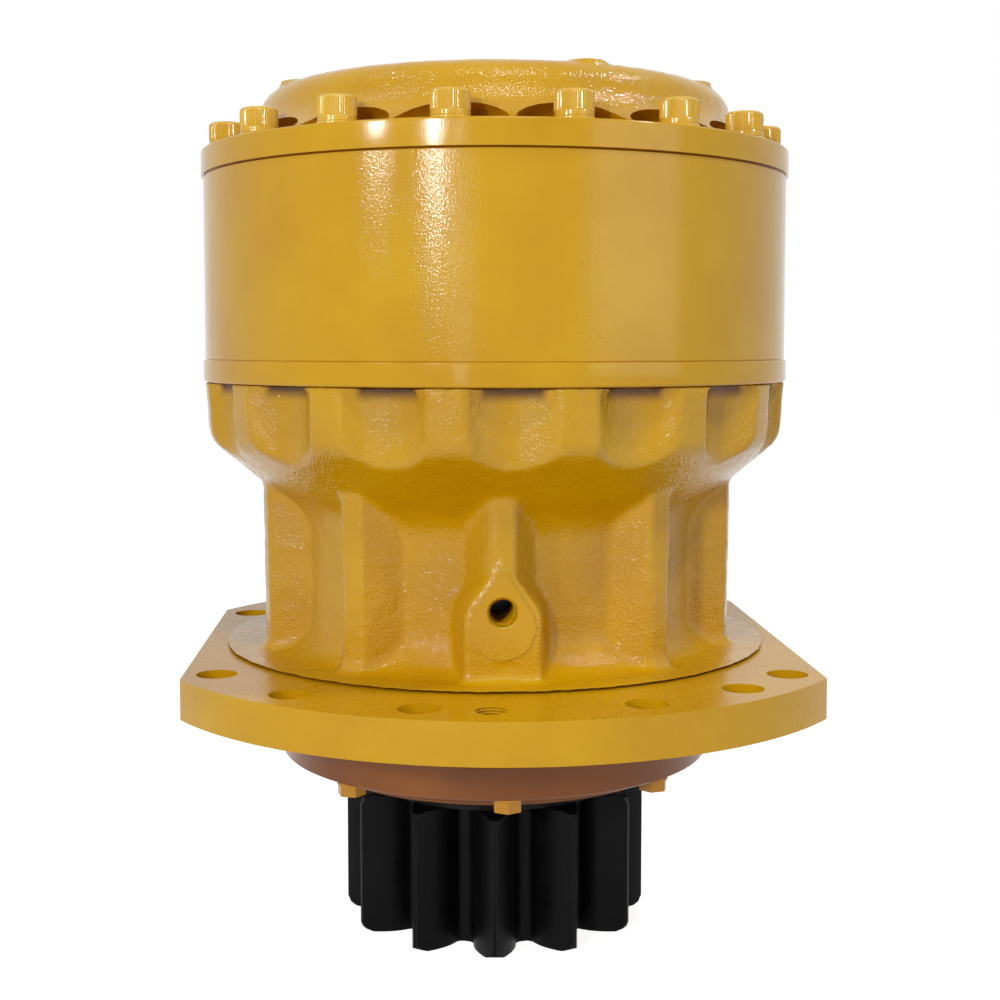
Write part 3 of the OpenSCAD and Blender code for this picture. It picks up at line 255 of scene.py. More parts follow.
def paintRecessShade(obj, shade=None):
    # stores how deep a point lies in a corner, for painted shade there: the colour is darkened as if shade fell in it
    pick(obj)
    obj.data.color_attributes.new(name="recessShade", type="BYTE_COLOR", domain="CORNER")
    bpy.ops.paint.vertex_color_dirt(blur_strength=1.0, blur_iterations=4, clean_angle=radians(150),
                                    dirt_angle=radians(40), dirt_only=True, normalize=False)
    if shade:
        mark = obj.data.color_attributes["recessShade"].data
        for loop in obj.data.loops:
            level = shade(obj.data.vertices[loop.vertex_index].co / mm)
            if level < 1:
                mark[loop.index].color = [c * level for c in mark[loop.index].color[:3]] + [1]


hollowShadow = {"radius": 196.5, "inwards": 4, "height": 197, "upwards": 9, "darkness": 0.8}


def hollowShade(p):
    # painted shadow: darker colour in the tops of the hollows under the band, where the band's overhang casts its
    # shadow
    depth = min(1, max(0, (hollowShadow["radius"] - hypot(p.x, p.y)) / hollowShadow["inwards"]))
    return 1 - hollowShadow["darkness"] * depth * min(1, max(0, (p.z - hollowShadow["height"]) / hollowShadow["upwards"]))


# Materials

def newTree(name):
    material = bpy.data.materials.new(name)
    material.use_nodes = True
    tree = material.node_tree
    tree.nodes.clear()
    return material, tree


def node(tree, kind, x=0, y=0, **settings):
    made = tree.nodes.new(kind)
    made.location = (x, y)
    for key, value in settings.items():
        setattr(made, key, value)
    return made


def setInputs(made, **values):
    for key, value in values.items():
        made.inputs[key.replace("_", " ")].default_value = value
    return made


def wire(tree, source, target):
    tree.links.new(source, target)


def paintSurfaceGroup():
    # grain of a painted casting: fine orange peel over coarser sand lumps, with a few pits
    tree = bpy.data.node_groups.new("castGrain", "ShaderNodeTree")
    for name, default in (("Peel size", 2.0), ("Lump size", 9.0), ("Lump share", 0.5), ("Pit share", 0.2)):
        tree.interface.new_socket(name, in_out="INPUT", socket_type="NodeSocketFloat").default_value = default
    tree.interface.new_socket("Height", in_out="OUTPUT", socket_type="NodeSocketFloat")
    entry = node(tree, "NodeGroupInput", -900, 0)
    leave = node(tree, "NodeGroupOutput", 700, 0)
    place = node(tree, "ShaderNodeTexCoord", -900, -300)
    peelScale = node(tree, "ShaderNodeMath", -700, 200, operation="DIVIDE")
    peelScale.inputs[0].default_value = 1000
    lumpScale = node(tree, "ShaderNodeMath", -700, 0, operation="DIVIDE")
    lumpScale.inputs[0].default_value = 1000
    wire(tree, entry.outputs["Peel size"], peelScale.inputs[1])
    wire(tree, entry.outputs["Lump size"], lumpScale.inputs[1])
    peel = setInputs(node(tree, "ShaderNodeTexNoise", -450, 250), Detail=1.4, Roughness=0.5, Distortion=0.0)
    lumps = setInputs(node(tree, "ShaderNodeTexNoise", -450, 0), Detail=3.0, Roughness=0.6, Distortion=0.6)
    pits = node(tree, "ShaderNodeTexVoronoi", -450, -250, feature="F1")
    wire(tree, place.outputs["Object"], peel.inputs["Vector"])
    wire(tree, place.outputs["Object"], lumps.inputs["Vector"])
    wire(tree, place.outputs["Object"], pits.inputs["Vector"])
    wire(tree, peelScale.outputs[0], peel.inputs["Scale"])
    wire(tree, lumpScale.outputs[0], lumps.inputs["Scale"])
    wire(tree, lumpScale.outputs[0], pits.inputs["Scale"])
    pitEdge = node(tree, "ShaderNodeMapRange", -200, -250, interpolation_type="SMOOTHSTEP")
    setInputs(pitEdge, From_Min=0.06, From_Max=0.16)
    wire(tree, pits.outputs["Distance"], pitEdge.inputs["Value"])
    both = node(tree, "ShaderNodeMix", 0, 100, data_type="FLOAT")
    wire(tree, entry.outputs["Lump share"], both.inputs[0])
    wire(tree, peel.outputs["Fac"], both.inputs[2])
    wire(tree, lumps.outputs["Fac"], both.inputs[3])
    pitted = node(tree, "ShaderNodeMix", 250, 0, data_type="FLOAT")
    dug = node(tree, "ShaderNodeMath", 100, -150, operation="MULTIPLY")
    wire(tree, both.outputs[0], dug.inputs[0])
    wire(tree, pitEdge.outputs[0], dug.inputs[1])
    wire(tree, entry.outputs["Pit share"], pitted.inputs[0])
    wire(tree, both.outputs[0], pitted.inputs[2])
    wire(tree, dug.outputs[0], pitted.inputs[3])
    wire(tree, pitted.outputs[0], leave.inputs["Height"])
    return tree


def driftGroup():
    # slow change of tone over the paint, 0 to 1
    tree = bpy.data.node_groups.new("toneDrift", "ShaderNodeTree")
    tree.interface.new_socket("Patch size", in_out="INPUT", socket_type="NodeSocketFloat").default_value = 90.0
    tree.interface.new_socket("Tone", in_out="OUTPUT", socket_type="NodeSocketFloat")
    entry = node(tree, "NodeGroupInput", -600, 0)
    leave = node(tree, "NodeGroupOutput", 300, 0)
    place = node(tree, "ShaderNodeTexCoord", -600, -200)
    scale = node(tree, "ShaderNodeMath", -400, 0, operation="DIVIDE")
    scale.inputs[0].default_value = 1000
    wire(tree, entry.outputs["Patch size"], scale.inputs[1])
    cloud = setInputs(node(tree, "ShaderNodeTexNoise", -200, 0), Detail=4.0, Roughness=0.55)
    wire(tree, place.outputs["Object"], cloud.inputs["Vector"])
    wire(tree, scale.outputs[0], cloud.inputs["Scale"])
    spread = setInputs(node(tree, "ShaderNodeMapRange", 50, 0), From_Min=0.3, From_Max=0.7)
    wire(tree, cloud.outputs["Fac"], spread.inputs["Value"])
    wire(tree, spread.outputs[0], leave.inputs["Tone"])
    return tree


castGrain = paintSurfaceGroup()
toneDrift = driftGroup()


def useGroup(tree, group, x, y, **values):
    made = node(tree, "ShaderNodeGroup", x, y)
    made.node_tree = group
    return setInputs(made, **values)


paint = {
    "light": (0.622, 0.345, 0.001),
    "deep": (0.552, 0.280, 0.001),
    "shade": (0.150, 0.058, 0.002),
    "specular": 0.30,
}


def yellowPaint(name, peel, lumpSize, lumpShare, pitShare, bump, roughness, tint=None, recessShade=False):
    material, tree = newTree(name)
    surface = node(tree, "ShaderNodeBsdfPrincipled", 600, 0)
    out = node(tree, "ShaderNodeOutputMaterial", 900, 0)
    wire(tree, surface.outputs[0], out.inputs[0])
    tone = useGroup(tree, toneDrift, -500, 200, Patch_size=70.0)
    light, deep, shade = tint or (paint["light"], paint["deep"], paint["shade"])
    colour = node(tree, "ShaderNodeMix", -200, 200, data_type="RGBA")
    colour.inputs[6].default_value = (*deep, 1)
    colour.inputs[7].default_value = (*light, 1)
    wire(tree, tone.outputs["Tone"], colour.inputs[0])
    grain = useGroup(tree, castGrain, -500, -200, Peel_size=peel, Lump_size=lumpSize, Lump_share=lumpShare,
                     Pit_share=pitShare)
    lift = node(tree, "ShaderNodeBump", 200, -250)
    lift.inputs["Distance"].default_value = bump * mm
    lift.inputs["Strength"].default_value = 1.0
    wire(tree, grain.outputs["Height"], lift.inputs["Height"])
    wire(tree, lift.outputs[0], surface.inputs["Normal"])
    last = colour.outputs[2]
    # painted shade: the colour is darkened towards the shade colour in corners and hollows
    if recessShade:
        mark = node(tree, "ShaderNodeVertexColor", -500, 500, layer_name="recessShade")
        depth = node(tree, "ShaderNodeMapRange", -250, 500, interpolation_type="SMOOTHSTEP")
        setInputs(depth, From_Min=0.15, From_Max=0.85)
        wire(tree, mark.outputs["Color"], depth.inputs["Value"])
        dark = node(tree, "ShaderNodeMix", 50, 300, data_type="RGBA")
        dark.inputs[6].default_value = (*shade, 1)
        wire(tree, depth.outputs[0], dark.inputs[0])
        wire(tree, colour.outputs[2], dark.inputs[7])
        last = dark.outputs[2]
    wire(tree, last, surface.inputs["Base Color"])
    glossy = setInputs(node(tree, "ShaderNodeMapRange", 200, 0), To_Min=roughness - 0.03, To_Max=roughness + 0.05)
    wire(tree, grain.outputs["Height"], glossy.inputs["Value"])
    wire(tree, glossy.outputs[0], surface.inputs["Roughness"])
    surface.inputs["Specular IOR Level"].default_value = paint["specular"]
    return material


def steelFinish(name, light, dark, roughness, streak=0.0, metallic=1.0, bump=0.02):
    # turned or ground steel with fine marks round the axis
    material, tree = newTree(name)
    surface = node(tree, "ShaderNodeBsdfPrincipled", 600, 0)
    out = node(tree, "ShaderNodeOutputMaterial", 900, 0)
    wire(tree, surface.outputs[0], out.inputs[0])
    tone = useGroup(tree, toneDrift, -300, 200, Patch_size=25.0)
    colour = node(tree, "ShaderNodeMix", 0, 200, data_type="RGBA")
    colour.inputs[6].default_value = (*dark, 1)
    colour.inputs[7].default_value = (*light, 1)
    wire(tree, tone.outputs["Tone"], colour.inputs[0])
    wire(tree, colour.outputs[2], surface.inputs["Base Color"])
    place = node(tree, "ShaderNodeTexCoord", -700, -200)
    squash = node(tree, "ShaderNodeMapping", -500, -200)
    squash.inputs["Scale"].default_value = (40, 40, 1800) if streak else (700, 700, 700)
    marks = setInputs(node(tree, "ShaderNodeTexNoise", -300, -200), Scale=1.0, Detail=3.0, Roughness=0.6)
    wire(tree, place.outputs["Object"], squash.inputs[0])
    wire(tree, squash.outputs[0], marks.inputs["Vector"])
    rough = setInputs(node(tree, "ShaderNodeMapRange", 0, -50), To_Min=roughness - 0.07, To_Max=roughness + 0.1)
    wire(tree, marks.outputs["Fac"], rough.inputs["Value"])
    wire(tree, rough.outputs[0], surface.inputs["Roughness"])
    lift = node(tree, "ShaderNodeBump", 200, -300)
    lift.inputs["Distance"].default_value = bump * mm
    wire(tree, marks.outputs["Fac"], lift.inputs["Height"])
    wire(tree, lift.outputs[0], surface.inputs["Normal"])
    surface.inputs["Metallic"].default_value = metallic
    return material


def pinionSteel():
    # black forged steel, with yellow overspray under the seal and lighter edges on the teeth
    material, tree = newTree("pinionBlack")
    surface = node(tree, "ShaderNodeBsdfPrincipled", 700, 0)
    out = node(tree, "ShaderNodeOutputMaterial", 1000, 0)
    wire(tree, surface.outputs[0], out.inputs[0])
    tone = useGroup(tree, toneDrift, -500, 300, Patch_size=22.0)
    black = node(tree, "ShaderNodeMix", -200, 300, data_type="RGBA")
    black.inputs[6].default_value = (0.0016, 0.0016, 0.0022, 1)
    black.inputs[7].default_value = (0.0046, 0.0045, 0.0050, 1)
    wire(tree, tone.outputs["Tone"], black.inputs[0])
    place = node(tree, "ShaderNodeTexCoord", -900, -100)
    split = node(tree, "ShaderNodeSeparateXYZ", -700, 100)
    wire(tree, place.outputs["Object"], split.inputs[0])
    height = setInputs(node(tree, "ShaderNodeMapRange", -450, 50), From_Min=-0.093, From_Max=-0.076)
    wire(tree, split.outputs["Z"], height.inputs["Value"])
    speck = setInputs(node(tree, "ShaderNodeTexNoise", -500, -200), Scale=170.0, Detail=5.0, Roughness=0.7)
    wire(tree, place.outputs["Object"], speck.inputs["Vector"])
    flat = setInputs(node(tree, "ShaderNodeVectorMath", -600, 250, operation="MULTIPLY"))
    flat.inputs[1].default_value = (1, 1, 0)
    wire(tree, place.outputs["Object"], flat.inputs[0])
    reach = node(tree, "ShaderNodeVectorMath", -450, 250, operation="LENGTH")
    wire(tree, flat.outputs[0], reach.inputs[0])
    root = setInputs(node(tree, "ShaderNodeMapRange", -300, 250), From_Min=0.078, From_Max=0.069)
    wire(tree, reach.outputs["Value"], root.inputs["Value"])
    inRoots = node(tree, "ShaderNodeMath", -250, 100, operation="MULTIPLY")
    wire(tree, height.outputs[0], inRoots.inputs[0])
    wire(tree, root.outputs[0], inRoots.inputs[1])
    sprayed = node(tree, "ShaderNodeMath", -200, 0, operation="MULTIPLY")
    wire(tree, inRoots.outputs[0], sprayed.inputs[0])
    wire(tree, speck.outputs["Fac"], sprayed.inputs[1])
    edge = setInputs(node(tree, "ShaderNodeMapRange", 0, 0), From_Min=0.26, From_Max=0.50, To_Max=0.55)
    wire(tree, sprayed.outputs[0], edge.inputs["Value"])
    colour = node(tree, "ShaderNodeMix", 250, 200, data_type="RGBA")
    colour.inputs[7].default_value = (0.16, 0.095, 0.012, 1)
    wire(tree, edge.outputs[0], colour.inputs[0])
    wire(tree, black.outputs[2], colour.inputs[6])
    edgeMark = node(tree, "ShaderNodeVertexColor", 250, 450, layer_name="edge")
    edgeLift = setInputs(node(tree, "ShaderNodeMapRange", 380, 350), From_Min=0.1, From_Max=0.9, To_Max=0.55)
    wire(tree, edgeMark.outputs["Color"], edgeLift.inputs["Value"])
    bright = node(tree, "ShaderNodeMix", 500, 250, data_type="RGBA")
    bright.inputs[7].default_value = (0.13, 0.13, 0.14, 1)
    wire(tree, edgeLift.outputs[0], bright.inputs[0])
    wire(tree, colour.outputs[2], bright.inputs[6])
    wire(tree, bright.outputs[2], surface.inputs["Base Color"])
    hob = node(tree, "ShaderNodeMapping", -700, -450)
    hob.inputs["Scale"].default_value = (260, 260, 25)
    wire(tree, place.outputs["Object"], hob.inputs[0])
    marks = setInputs(node(tree, "ShaderNodeTexNoise", -500, -450), Scale=1.0, Detail=4.0, Roughness=0.65)
    wire(tree, hob.outputs[0], marks.inputs["Vector"])
    rough = setInputs(node(tree, "ShaderNodeMapRange", 200, -100), To_Min=0.30, To_Max=0.52)
    wire(tree, marks.outputs["Fac"], rough.inputs["Value"])
    wire(tree, rough.outputs[0], surface.inputs["Roughness"])
    lift = node(tree, "ShaderNodeBump", 300, -400)
    lift.inputs["Distance"].default_value = 0.00012
    wire(tree, marks.outputs["Fac"], lift.inputs["Height"])
    wire(tree, lift.outputs[0], surface.inputs["Normal"])
    surface.inputs["Specular IOR Level"].default_value = 0.08
    return material


def rubberFinish():
    material, tree = newTree("sealRubber")
    surface = node(tree, "ShaderNodeBsdfPrincipled", 600, 0)
    out = node(tree, "ShaderNodeOutputMaterial", 900, 0)
    wire(tree, surface.outputs[0], out.inputs[0])
    tone = useGroup(tree, toneDrift, -300, 200, Patch_size=15.0)
    colour = node(tree, "ShaderNodeMix", 0, 200, data_type="RGBA")
    colour.inputs[6].default_value = (0.010, 0.010, 0.010, 1)
    colour.inputs[7].default_value = (0.022, 0.020, 0.019, 1)
    wire(tree, tone.outputs["Tone"], colour.inputs[0])
    wire(tree, colour.outputs[2], surface.inputs["Base Color"])
    grain = useGroup(tree, castGrain, -300, -200, Peel_size=0.8, Lump_size=6.0, Lump_share=0.2, Pit_share=0.0)
    lift = node(tree, "ShaderNodeBump", 200, -300)
    lift.inputs["Distance"].default_value = 0.00008
    wire(tree, grain.outputs["Height"], lift.inputs["Height"])
    wire(tree, lift.outputs[0], surface.inputs["Normal"])
    surface.inputs["Roughness"].default_value = 0.6
    surface.inputs["Specular IOR Level"].default_value = 0.12
    return material


castPaint = yellowPaint("castPaint", peel=1.8, lumpSize=5.0, lumpShare=0.3, pitShare=0.3, bump=0.86, roughness=0.07,
                        recessShade=True)
# the dome gets a lighter shade colour, so its painted corner shade is weaker
domePaint = yellowPaint("domePaint", peel=1.7, lumpSize=5.0, lumpShare=0.2, pitShare=0.1, bump=0.60, roughness=0.06,
                        recessShade=True, tint=(paint["light"], paint["deep"], (0.48, 0.24, 0.002)))
castPlain = yellowPaint("castPlain", peel=1.8, lumpSize=5.0, lumpShare=0.3, pitShare=0.1, bump=0.50, roughness=0.10)
ringPaint = yellowPaint("ringPaint", peel=1.25, lumpSize=7.0, lumpShare=0.1, pitShare=0.0, bump=0.14, roughness=0.06)
flangePaint = yellowPaint("flangePaint", peel=1.4, lumpSize=10.0, lumpShare=0.15, pitShare=0.0, bump=0.045,
                          roughness=0.12)
mountPaint = yellowPaint("mountPaint", peel=1.2, lumpSize=8.0, lumpShare=0.25, pitShare=0.0, bump=0.08, roughness=0.27)
screwPaint = yellowPaint("screwPaint", peel=1.0, lumpSize=4.0, lumpShare=0.3, pitShare=0.0, bump=0.08, roughness=0.12,
                         tint=((0.720, 0.450, 0.045), (0.630, 0.365, 0.022), (0.3, 0.1, 0.01)))
# reddish-brown paint for the retainer and the parts under the flange, its colour also darkened as painted shade from
# the flange above
retainerShadedPaint = yellowPaint("retainerShadedPaint", peel=1.6, lumpSize=12.0, lumpShare=0.4, pitShare=0.0, bump=0.05,
                            roughness=0.24,
                            tint=((0.285, 0.086, 0.008), (0.200, 0.056, 0.006), (0.1, 0.03, 0.003)))
boltPaint = yellowPaint("boltPaint", peel=1.6, lumpSize=12.0, lumpShare=0.4, pitShare=0.0, bump=0.05, roughness=0.2,
                        tint=((0.620, 0.300, 0.012), (0.520, 0.230, 0.010), (0.2, 0.07, 0.006)))
pinionBlack = pinionSteel()
groundSteel = steelFinish("groundSteel", (0.62, 0.62, 0.63), (0.46, 0.46, 0.47), 0.26, streak=1.0)
gearSteel = steelFinish("gearSteel", (0.44, 0.44, 0.45), (0.30, 0.30, 0.31), 0.34)
carrierIron = steelFinish("carrierIron", (0.24, 0.24, 0.245), (0.16, 0.16, 0.165), 0.45, streak=1.0)
bronzeFinish = steelFinish("bronzeFinish", (0.62, 0.40, 0.17), (0.46, 0.28, 0.11), 0.32)
sealRubber = rubberFinish()
print("materials made:", len(bpy.data.materials))

# Main sizes that several pieces share, in millimetres
casing = {
    "flangeThickness": 25.7, "flangeRadius": 242.3, "flangeCentre": (4, -12), "flats": (-204, 199),
    "bandLow": 208.3, "housingTop": 223.5, "bandRadius": 202.95,
    "ringTop": 346.3, "coverTop": 363.8, "coverRadius": 203.15,
    "screwCircle": 185.75, "screwCount": 16, "spigotRadius": 151.7, "spigotLow": -30,
}
screwPlaces = aroundCircle(casing["screwCount"], casing["screwCircle"], -90 + 180 / casing["screwCount"])

# Cast body: neck, ribs, port boss and bowl
castBody = {
    "voxel": 2.3, "smoothing": 7, "lump": 0.7, "lumpSize": 13, "fineLump": 0.7, "fineSize": 4.5,
    "partingHeight": 97, "partingRidge": 0.45, "partingWidth": 2.2, "partingFrom": 138,
    "bowlFrom": 150.5, "bowlInside": 167, "neckInside": 135,
    "portX": -4.5, "portHeight": 70.8, "portRadius": 8.25, "portMouth": 10, "portFace": 168, "portDepth": 56,
    "portOpening": 10.4, "threadPitch": 1.8, "facing": 60, "plainRadius": 34,
    "plateDrop": 9, "plateRise": 20.7, "plateRadius": 20, "plateTip": 4, "plateThickness": 1.1,
    "cavity": [(130, 20), (130, 31), (122, 31), (122, 37), (126, 41), (126, 86), (99.5, 100), (99.5, 108),
               (107.5, 108), (107.5, 152), (115.5, 156), (149.25, 172), (163.25, 188), (163.25, 215)],
}


def portCutter():
    # the threaded oil port with its broken mouth, turned upright and laid down towards the front
    r, mouth, face = castBody["portRadius"], castBody["portMouth"], castBody["portFace"]
    depth = face - castBody["portDepth"]
    profile = [(0.01, depth)]
    while depth < face - 6:
        profile += [(r - 0.6, depth), (r + 0.3, depth + castBody["threadPitch"] / 2)]
        depth += castBody["threadPitch"]
    profile += [(r, face - 4), (r, face - (mouth - r)), (mouth + 0.8, face + 0.8), (mouth + 0.8, face + 8),
                (0.01, face + 8)]
    obj = turnedPiece("portCutter", profile, 40)
    obj.rotation_euler = (radians(90), 0, 0)
    obj.location = (castBody["portX"] * mm, 0, castBody["portHeight"] * mm)
    return settle(obj)


def teardrop(turn, low, high, lowRadius, highRadius):
    # the outline round two circles one above the other, met by a line at this turn
    nx, nz = cos(turn), sin(turn)
    centre, radius = (high, highRadius) if high * nz + highRadius > low * nz + lowRadius else (low, lowRadius)
    return radius * nx, centre + radius * nz


def portPlate():
    # thin proud face round the port, with the uneven edge of a ground casting
    clearSelection()
    bpy.ops.mesh.primitive_circle_add(vertices=160, radius=1, fill_type="NGON", rotation=(radians(90), 0, 0))
    obj = bpy.context.object
    obj.name = "portPlate"
    settle(obj)
    face, sunk = castBody["portFace"], castBody["plateThickness"] + 1
    for vertex in obj.data.vertices:
        turn = atan2(vertex.co.z, vertex.co.x)
        x, z = teardrop(turn, -castBody["plateDrop"], castBody["plateRise"], castBody["plateRadius"],
                        castBody["plateTip"])
        uneven = 1 + 0.012 * sin(7 * turn + 1) + 0.009 * sin(13 * turn + 2.2) + 0.007 * sin(29 * turn + 0.4)
        vertex.co = ((castBody["portX"] + x * uneven) * mm, (sunk - face) * mm,
                     (castBody["portHeight"] + z * uneven) * mm)
    pick(obj)
    bpy.ops.object.mode_set(mode="EDIT")
    bpy.ops.mesh.select_all(action="SELECT")
    bpy.ops.mesh.extrude_region_move(TRANSFORM_OT_translate={"value": (0, -sunk * mm, 0)})
    bpy.ops.mesh.select_all(action="SELECT")
    bpy.ops.mesh.normals_make_consistent(inside=False)
    bpy.ops.object.mode_set(mode="OBJECT")
    cutAway(obj, [portCutter()])
    softenEdges(obj, 0.35, angle=40)
    return wearFinish(obj, castPlain, "yellow_paint", "housing", "gear_housing")


def castHousing():
    obj = weldedCopy("gear_housing", "castHousing")
    top, low = casing["bandLow"] - 0.05, casing["flangeThickness"] + 0.05
    trimAbove(obj, top)
    trimBelow(obj, low)
    portX, port, face = castBody["portX"], castBody["portHeight"], castBody["portFace"]
    inside = lambda p: castBody["bowlInside"] if p.z > castBody["bowlFrom"] else castBody["neckInside"]
    deleteFaces(obj, lambda p: hypot(p.x, p.y) < inside(p))
    deleteFaces(obj, lambda p: p.y < -90 and hypot(p.x - portX, p.z - port) < castBody["portOpening"])
    closeHoles(obj)
    modify(obj, "REMESH", mode="VOXEL", voxel_size=castBody["voxel"] * mm)
    nearPort = lambda p: p.y < 2.5 - face and hypot(p.x - portX, p.z - port) < castBody["plainRadius"]
    markVertices(obj, "cast", lambda p: min(1, max(0, (top - 1.5 - p.z) / 3)) * min(1, max(0, (p.z - low - 0.6) / 1))
                 * (0.35 if nearPort(p) else 1))
    markVertices(obj, "parting", lambda p: max(0, 1 - abs(p.z - castBody["partingHeight"]) / castBody["partingWidth"])
                 if hypot(p.x, p.y) > castBody["partingFrom"] and not nearPort(p) else 0)
    modify(obj, "SMOOTH", factor=0.5, iterations=castBody["smoothing"], vertex_group="cast")
    modify(obj, "DISPLACE", strength=castBody["partingRidge"] * mm, mid_level=0, vertex_group="parting")
    modify(obj, "DISPLACE", texture=lumpTexture("sandLumps", castBody["lumpSize"]), texture_coords="OBJECT",
           strength=castBody["lump"] * mm, mid_level=0.5, vertex_group="cast")
    modify(obj, "DISPLACE", texture=lumpTexture("sandGrain", castBody["fineSize"]), texture_coords="OBJECT",
           strength=castBody["fineLump"] * mm, mid_level=0.5, vertex_group="cast")
    clearSelection()
    front = face - castBody["plateThickness"] + castBody["facing"] / 2
    bpy.ops.mesh.primitive_cube_add(size=castBody["facing"] * mm, location=(portX * mm, -front * mm, port * mm))
    facing = settle(bpy.context.object)
    closed = [(0.01, 20)] + castBody["cavity"] + [(0.01, 215)]
    tapped = joinAll([rod(x, y, 180, 215, 8.2, 24) for x, y in screwPlaces], "tapped")
    cutAway(obj, [turnedPiece("cavityCutter", closed, 128), portCutter(), tapped, facing])
    smoothByAngle(obj, 55)
    paintRecessShade(obj, hollowShade)
    return wearFinish(obj, castPaint, "yellow_paint", "housing", "gear_housing")


print("cast body done:", triangleCount(castHousing()), "triangles")
portPlate()

# Mounting flange with its bolt holes and the threaded jack hole
flange = {"holeRadius": 13, "holeCircle": 216.8, "leftTurns": (16, 39, 59.5), "rightTurns": (19.5, 39, 53),
          "jackTurn": -5, "jackRadius": 10, "jackPitch": 1.75, "jackRounds": 20, "edge": 1.1}


def onFlange(turn):
    x, y = casing["flangeCentre"]
    return x + flange["holeCircle"] * cos(radians(turn)), y + flange["holeCircle"] * sin(radians(turn))


def flangeHolePlaces():
    turns = [side for a in flange["leftTurns"] for side in (-90 - a, 90 + a)]
    turns += [side for a in flange["rightTurns"] for side in (-90 + a, 90 - a)]
    return [onFlange(a) for a in turns]


def mountingFlange():
    thick = casing["flangeThickness"]
    obj = rod(*casing["flangeCentre"], 0, thick, casing["flangeRadius"], 256)
    obj.name = "mountingFlange"
    for flat in casing["flats"]:
        pick(obj)
        bpy.ops.object.mode_set(mode="EDIT")
        bpy.ops.mesh.select_all(action="SELECT")
        bpy.ops.mesh.bisect(plane_co=(flat * mm, 0, 0), plane_no=(1 if flat > 0 else -1, 0, 0),
                            use_fill=True, clear_outer=True)
        bpy.ops.object.mode_set(mode="OBJECT")
    holes = [rod(x, y, -5, thick + 5, flange["holeRadius"], 48) for x, y in flangeHolePlaces()]
    jackX, jackY = onFlange(-90 + flange["jackTurn"])
    r, thread = flange["jackRadius"], [(0.01, -5)]
    for i in range(flange["jackRounds"]):
        thread += [(r + 0.3, -5 + flange["jackPitch"] * i), (r - 0.7, -4.1 + flange["jackPitch"] * i)]
    jack = turnedPiece("jackThread", thread + [(0.01, 30)], 32)
    jack.location = (jackX * mm, jackY * mm, 0)
    holes.append(settle(jack))
    holes.append(rod(0, 0, -5, thick + 5, 130, 128))
    cutAway(obj, [joinAll(holes, "flangeHoles")])
    softenEdges(obj, flange["edge"], angle=40)
    return wearFinish(obj, mountPaint, "yellow_paint", "housing", "gear_housing")


mountingFlange()

# Spigot under the flange, and the band that carries the ring gear
spigot = {"inside": 130, "screwCircle": 140, "screwCount": 8, "holeRadius": 5.2, "holeDepth": 24}
band = {"inside": 163.25, "holeRadius": 8.2}


def housingSpigot():
    low, r, inside = casing["spigotLow"], casing["spigotRadius"], spigot["inside"]
    obj = turnedPiece("housingSpigot", [(inside, low), (r - 1, low), (r, low + 1), (r, 0.02), (inside, 0.02)])
    holes = [rod(x, y, low - 5, low + spigot["holeDepth"], spigot["holeRadius"], 24)
             for x, y in aroundCircle(spigot["screwCount"], spigot["screwCircle"], -90)]
    cutAway(obj, [joinAll(holes, "retainerHoles")])
    smoothByAngle(obj)
    return wearFinish(obj, retainerShadedPaint, "yellow_paint", "housing", "gear_housing")


def housingBand():
    low, top, r, inside = casing["bandLow"], casing["housingTop"], casing["bandRadius"], band["inside"]
    obj = turnedPiece("housingBand", [(inside, low), (r - 1.6, low), (r - 0.5, low + 0.5), (r, low + 1.6),
                                      (r, top - 0.9), (r - 0.5, top - 0.4), (r - 2, top - 0.4), (r - 2, top),
                                      (inside, top)], 256)
    holes = [rod(x, y, low - 5, top + 5, band["holeRadius"], 24) for x, y in screwPlaces]
    cutAway(obj, [joinAll(holes, "bandHoles")])
    smoothByAngle(obj, 50, weighted=True)
    return wearFinish(obj, flangePaint, "yellow_paint", "housing", "gear_housing")


housingSpigot()
housingBand()
print("flange, spigot and band done")

# Cover: a machined flange ring under a cast dome
dome = {"voxel": 1.8, "smoothing": 3, "lump": 0.5, "lumpSize": 12, "fineLump": 0.4, "fineSize": 4.5,
        "pilotRadius": 85, "motorCircle": 118, "motorCount": 8, "motorTurn": 20.25, "shoulder": (145, 388, 18),
        "foot": [(198.6, 363.85), (197.6, 364.4), (190, 365.5), (183, 367.6), (176.5, 371), (171, 375.6),
                 (167, 380.6), (164.3, 386), (162.8, 391)],
        "inside": [(85, 391.4), (120.5, 391.4), (128.5, 385.4), (148.5, 367.8), (148.5, 363.85)],
        "bosses": (0, 1, 2, 4, 6), "bossCircle": 141, "bossRadius": 13, "bossTop": 407.8,
        "spot": [(35, -5), (35, 0), (34.4, 3), (32.6, 6), (29.2, 9), (23.5, 11.7), (15, 13.6), (6, 14.3)]}


def spotCutter(x, y):
    # a low bowl shape that clears the screw head and runs out into the foot of the dome
    low = casing["coverTop"]
    profile = [(0.01, low - 5)] + [(r, low + h) for r, h in dome["spot"]] + [(0.01, low + 14.5)]
    obj = turnedPiece("spotCutter", profile, 64)
    obj.location = (x * mm, y * mm, 0)
    return settle(obj)


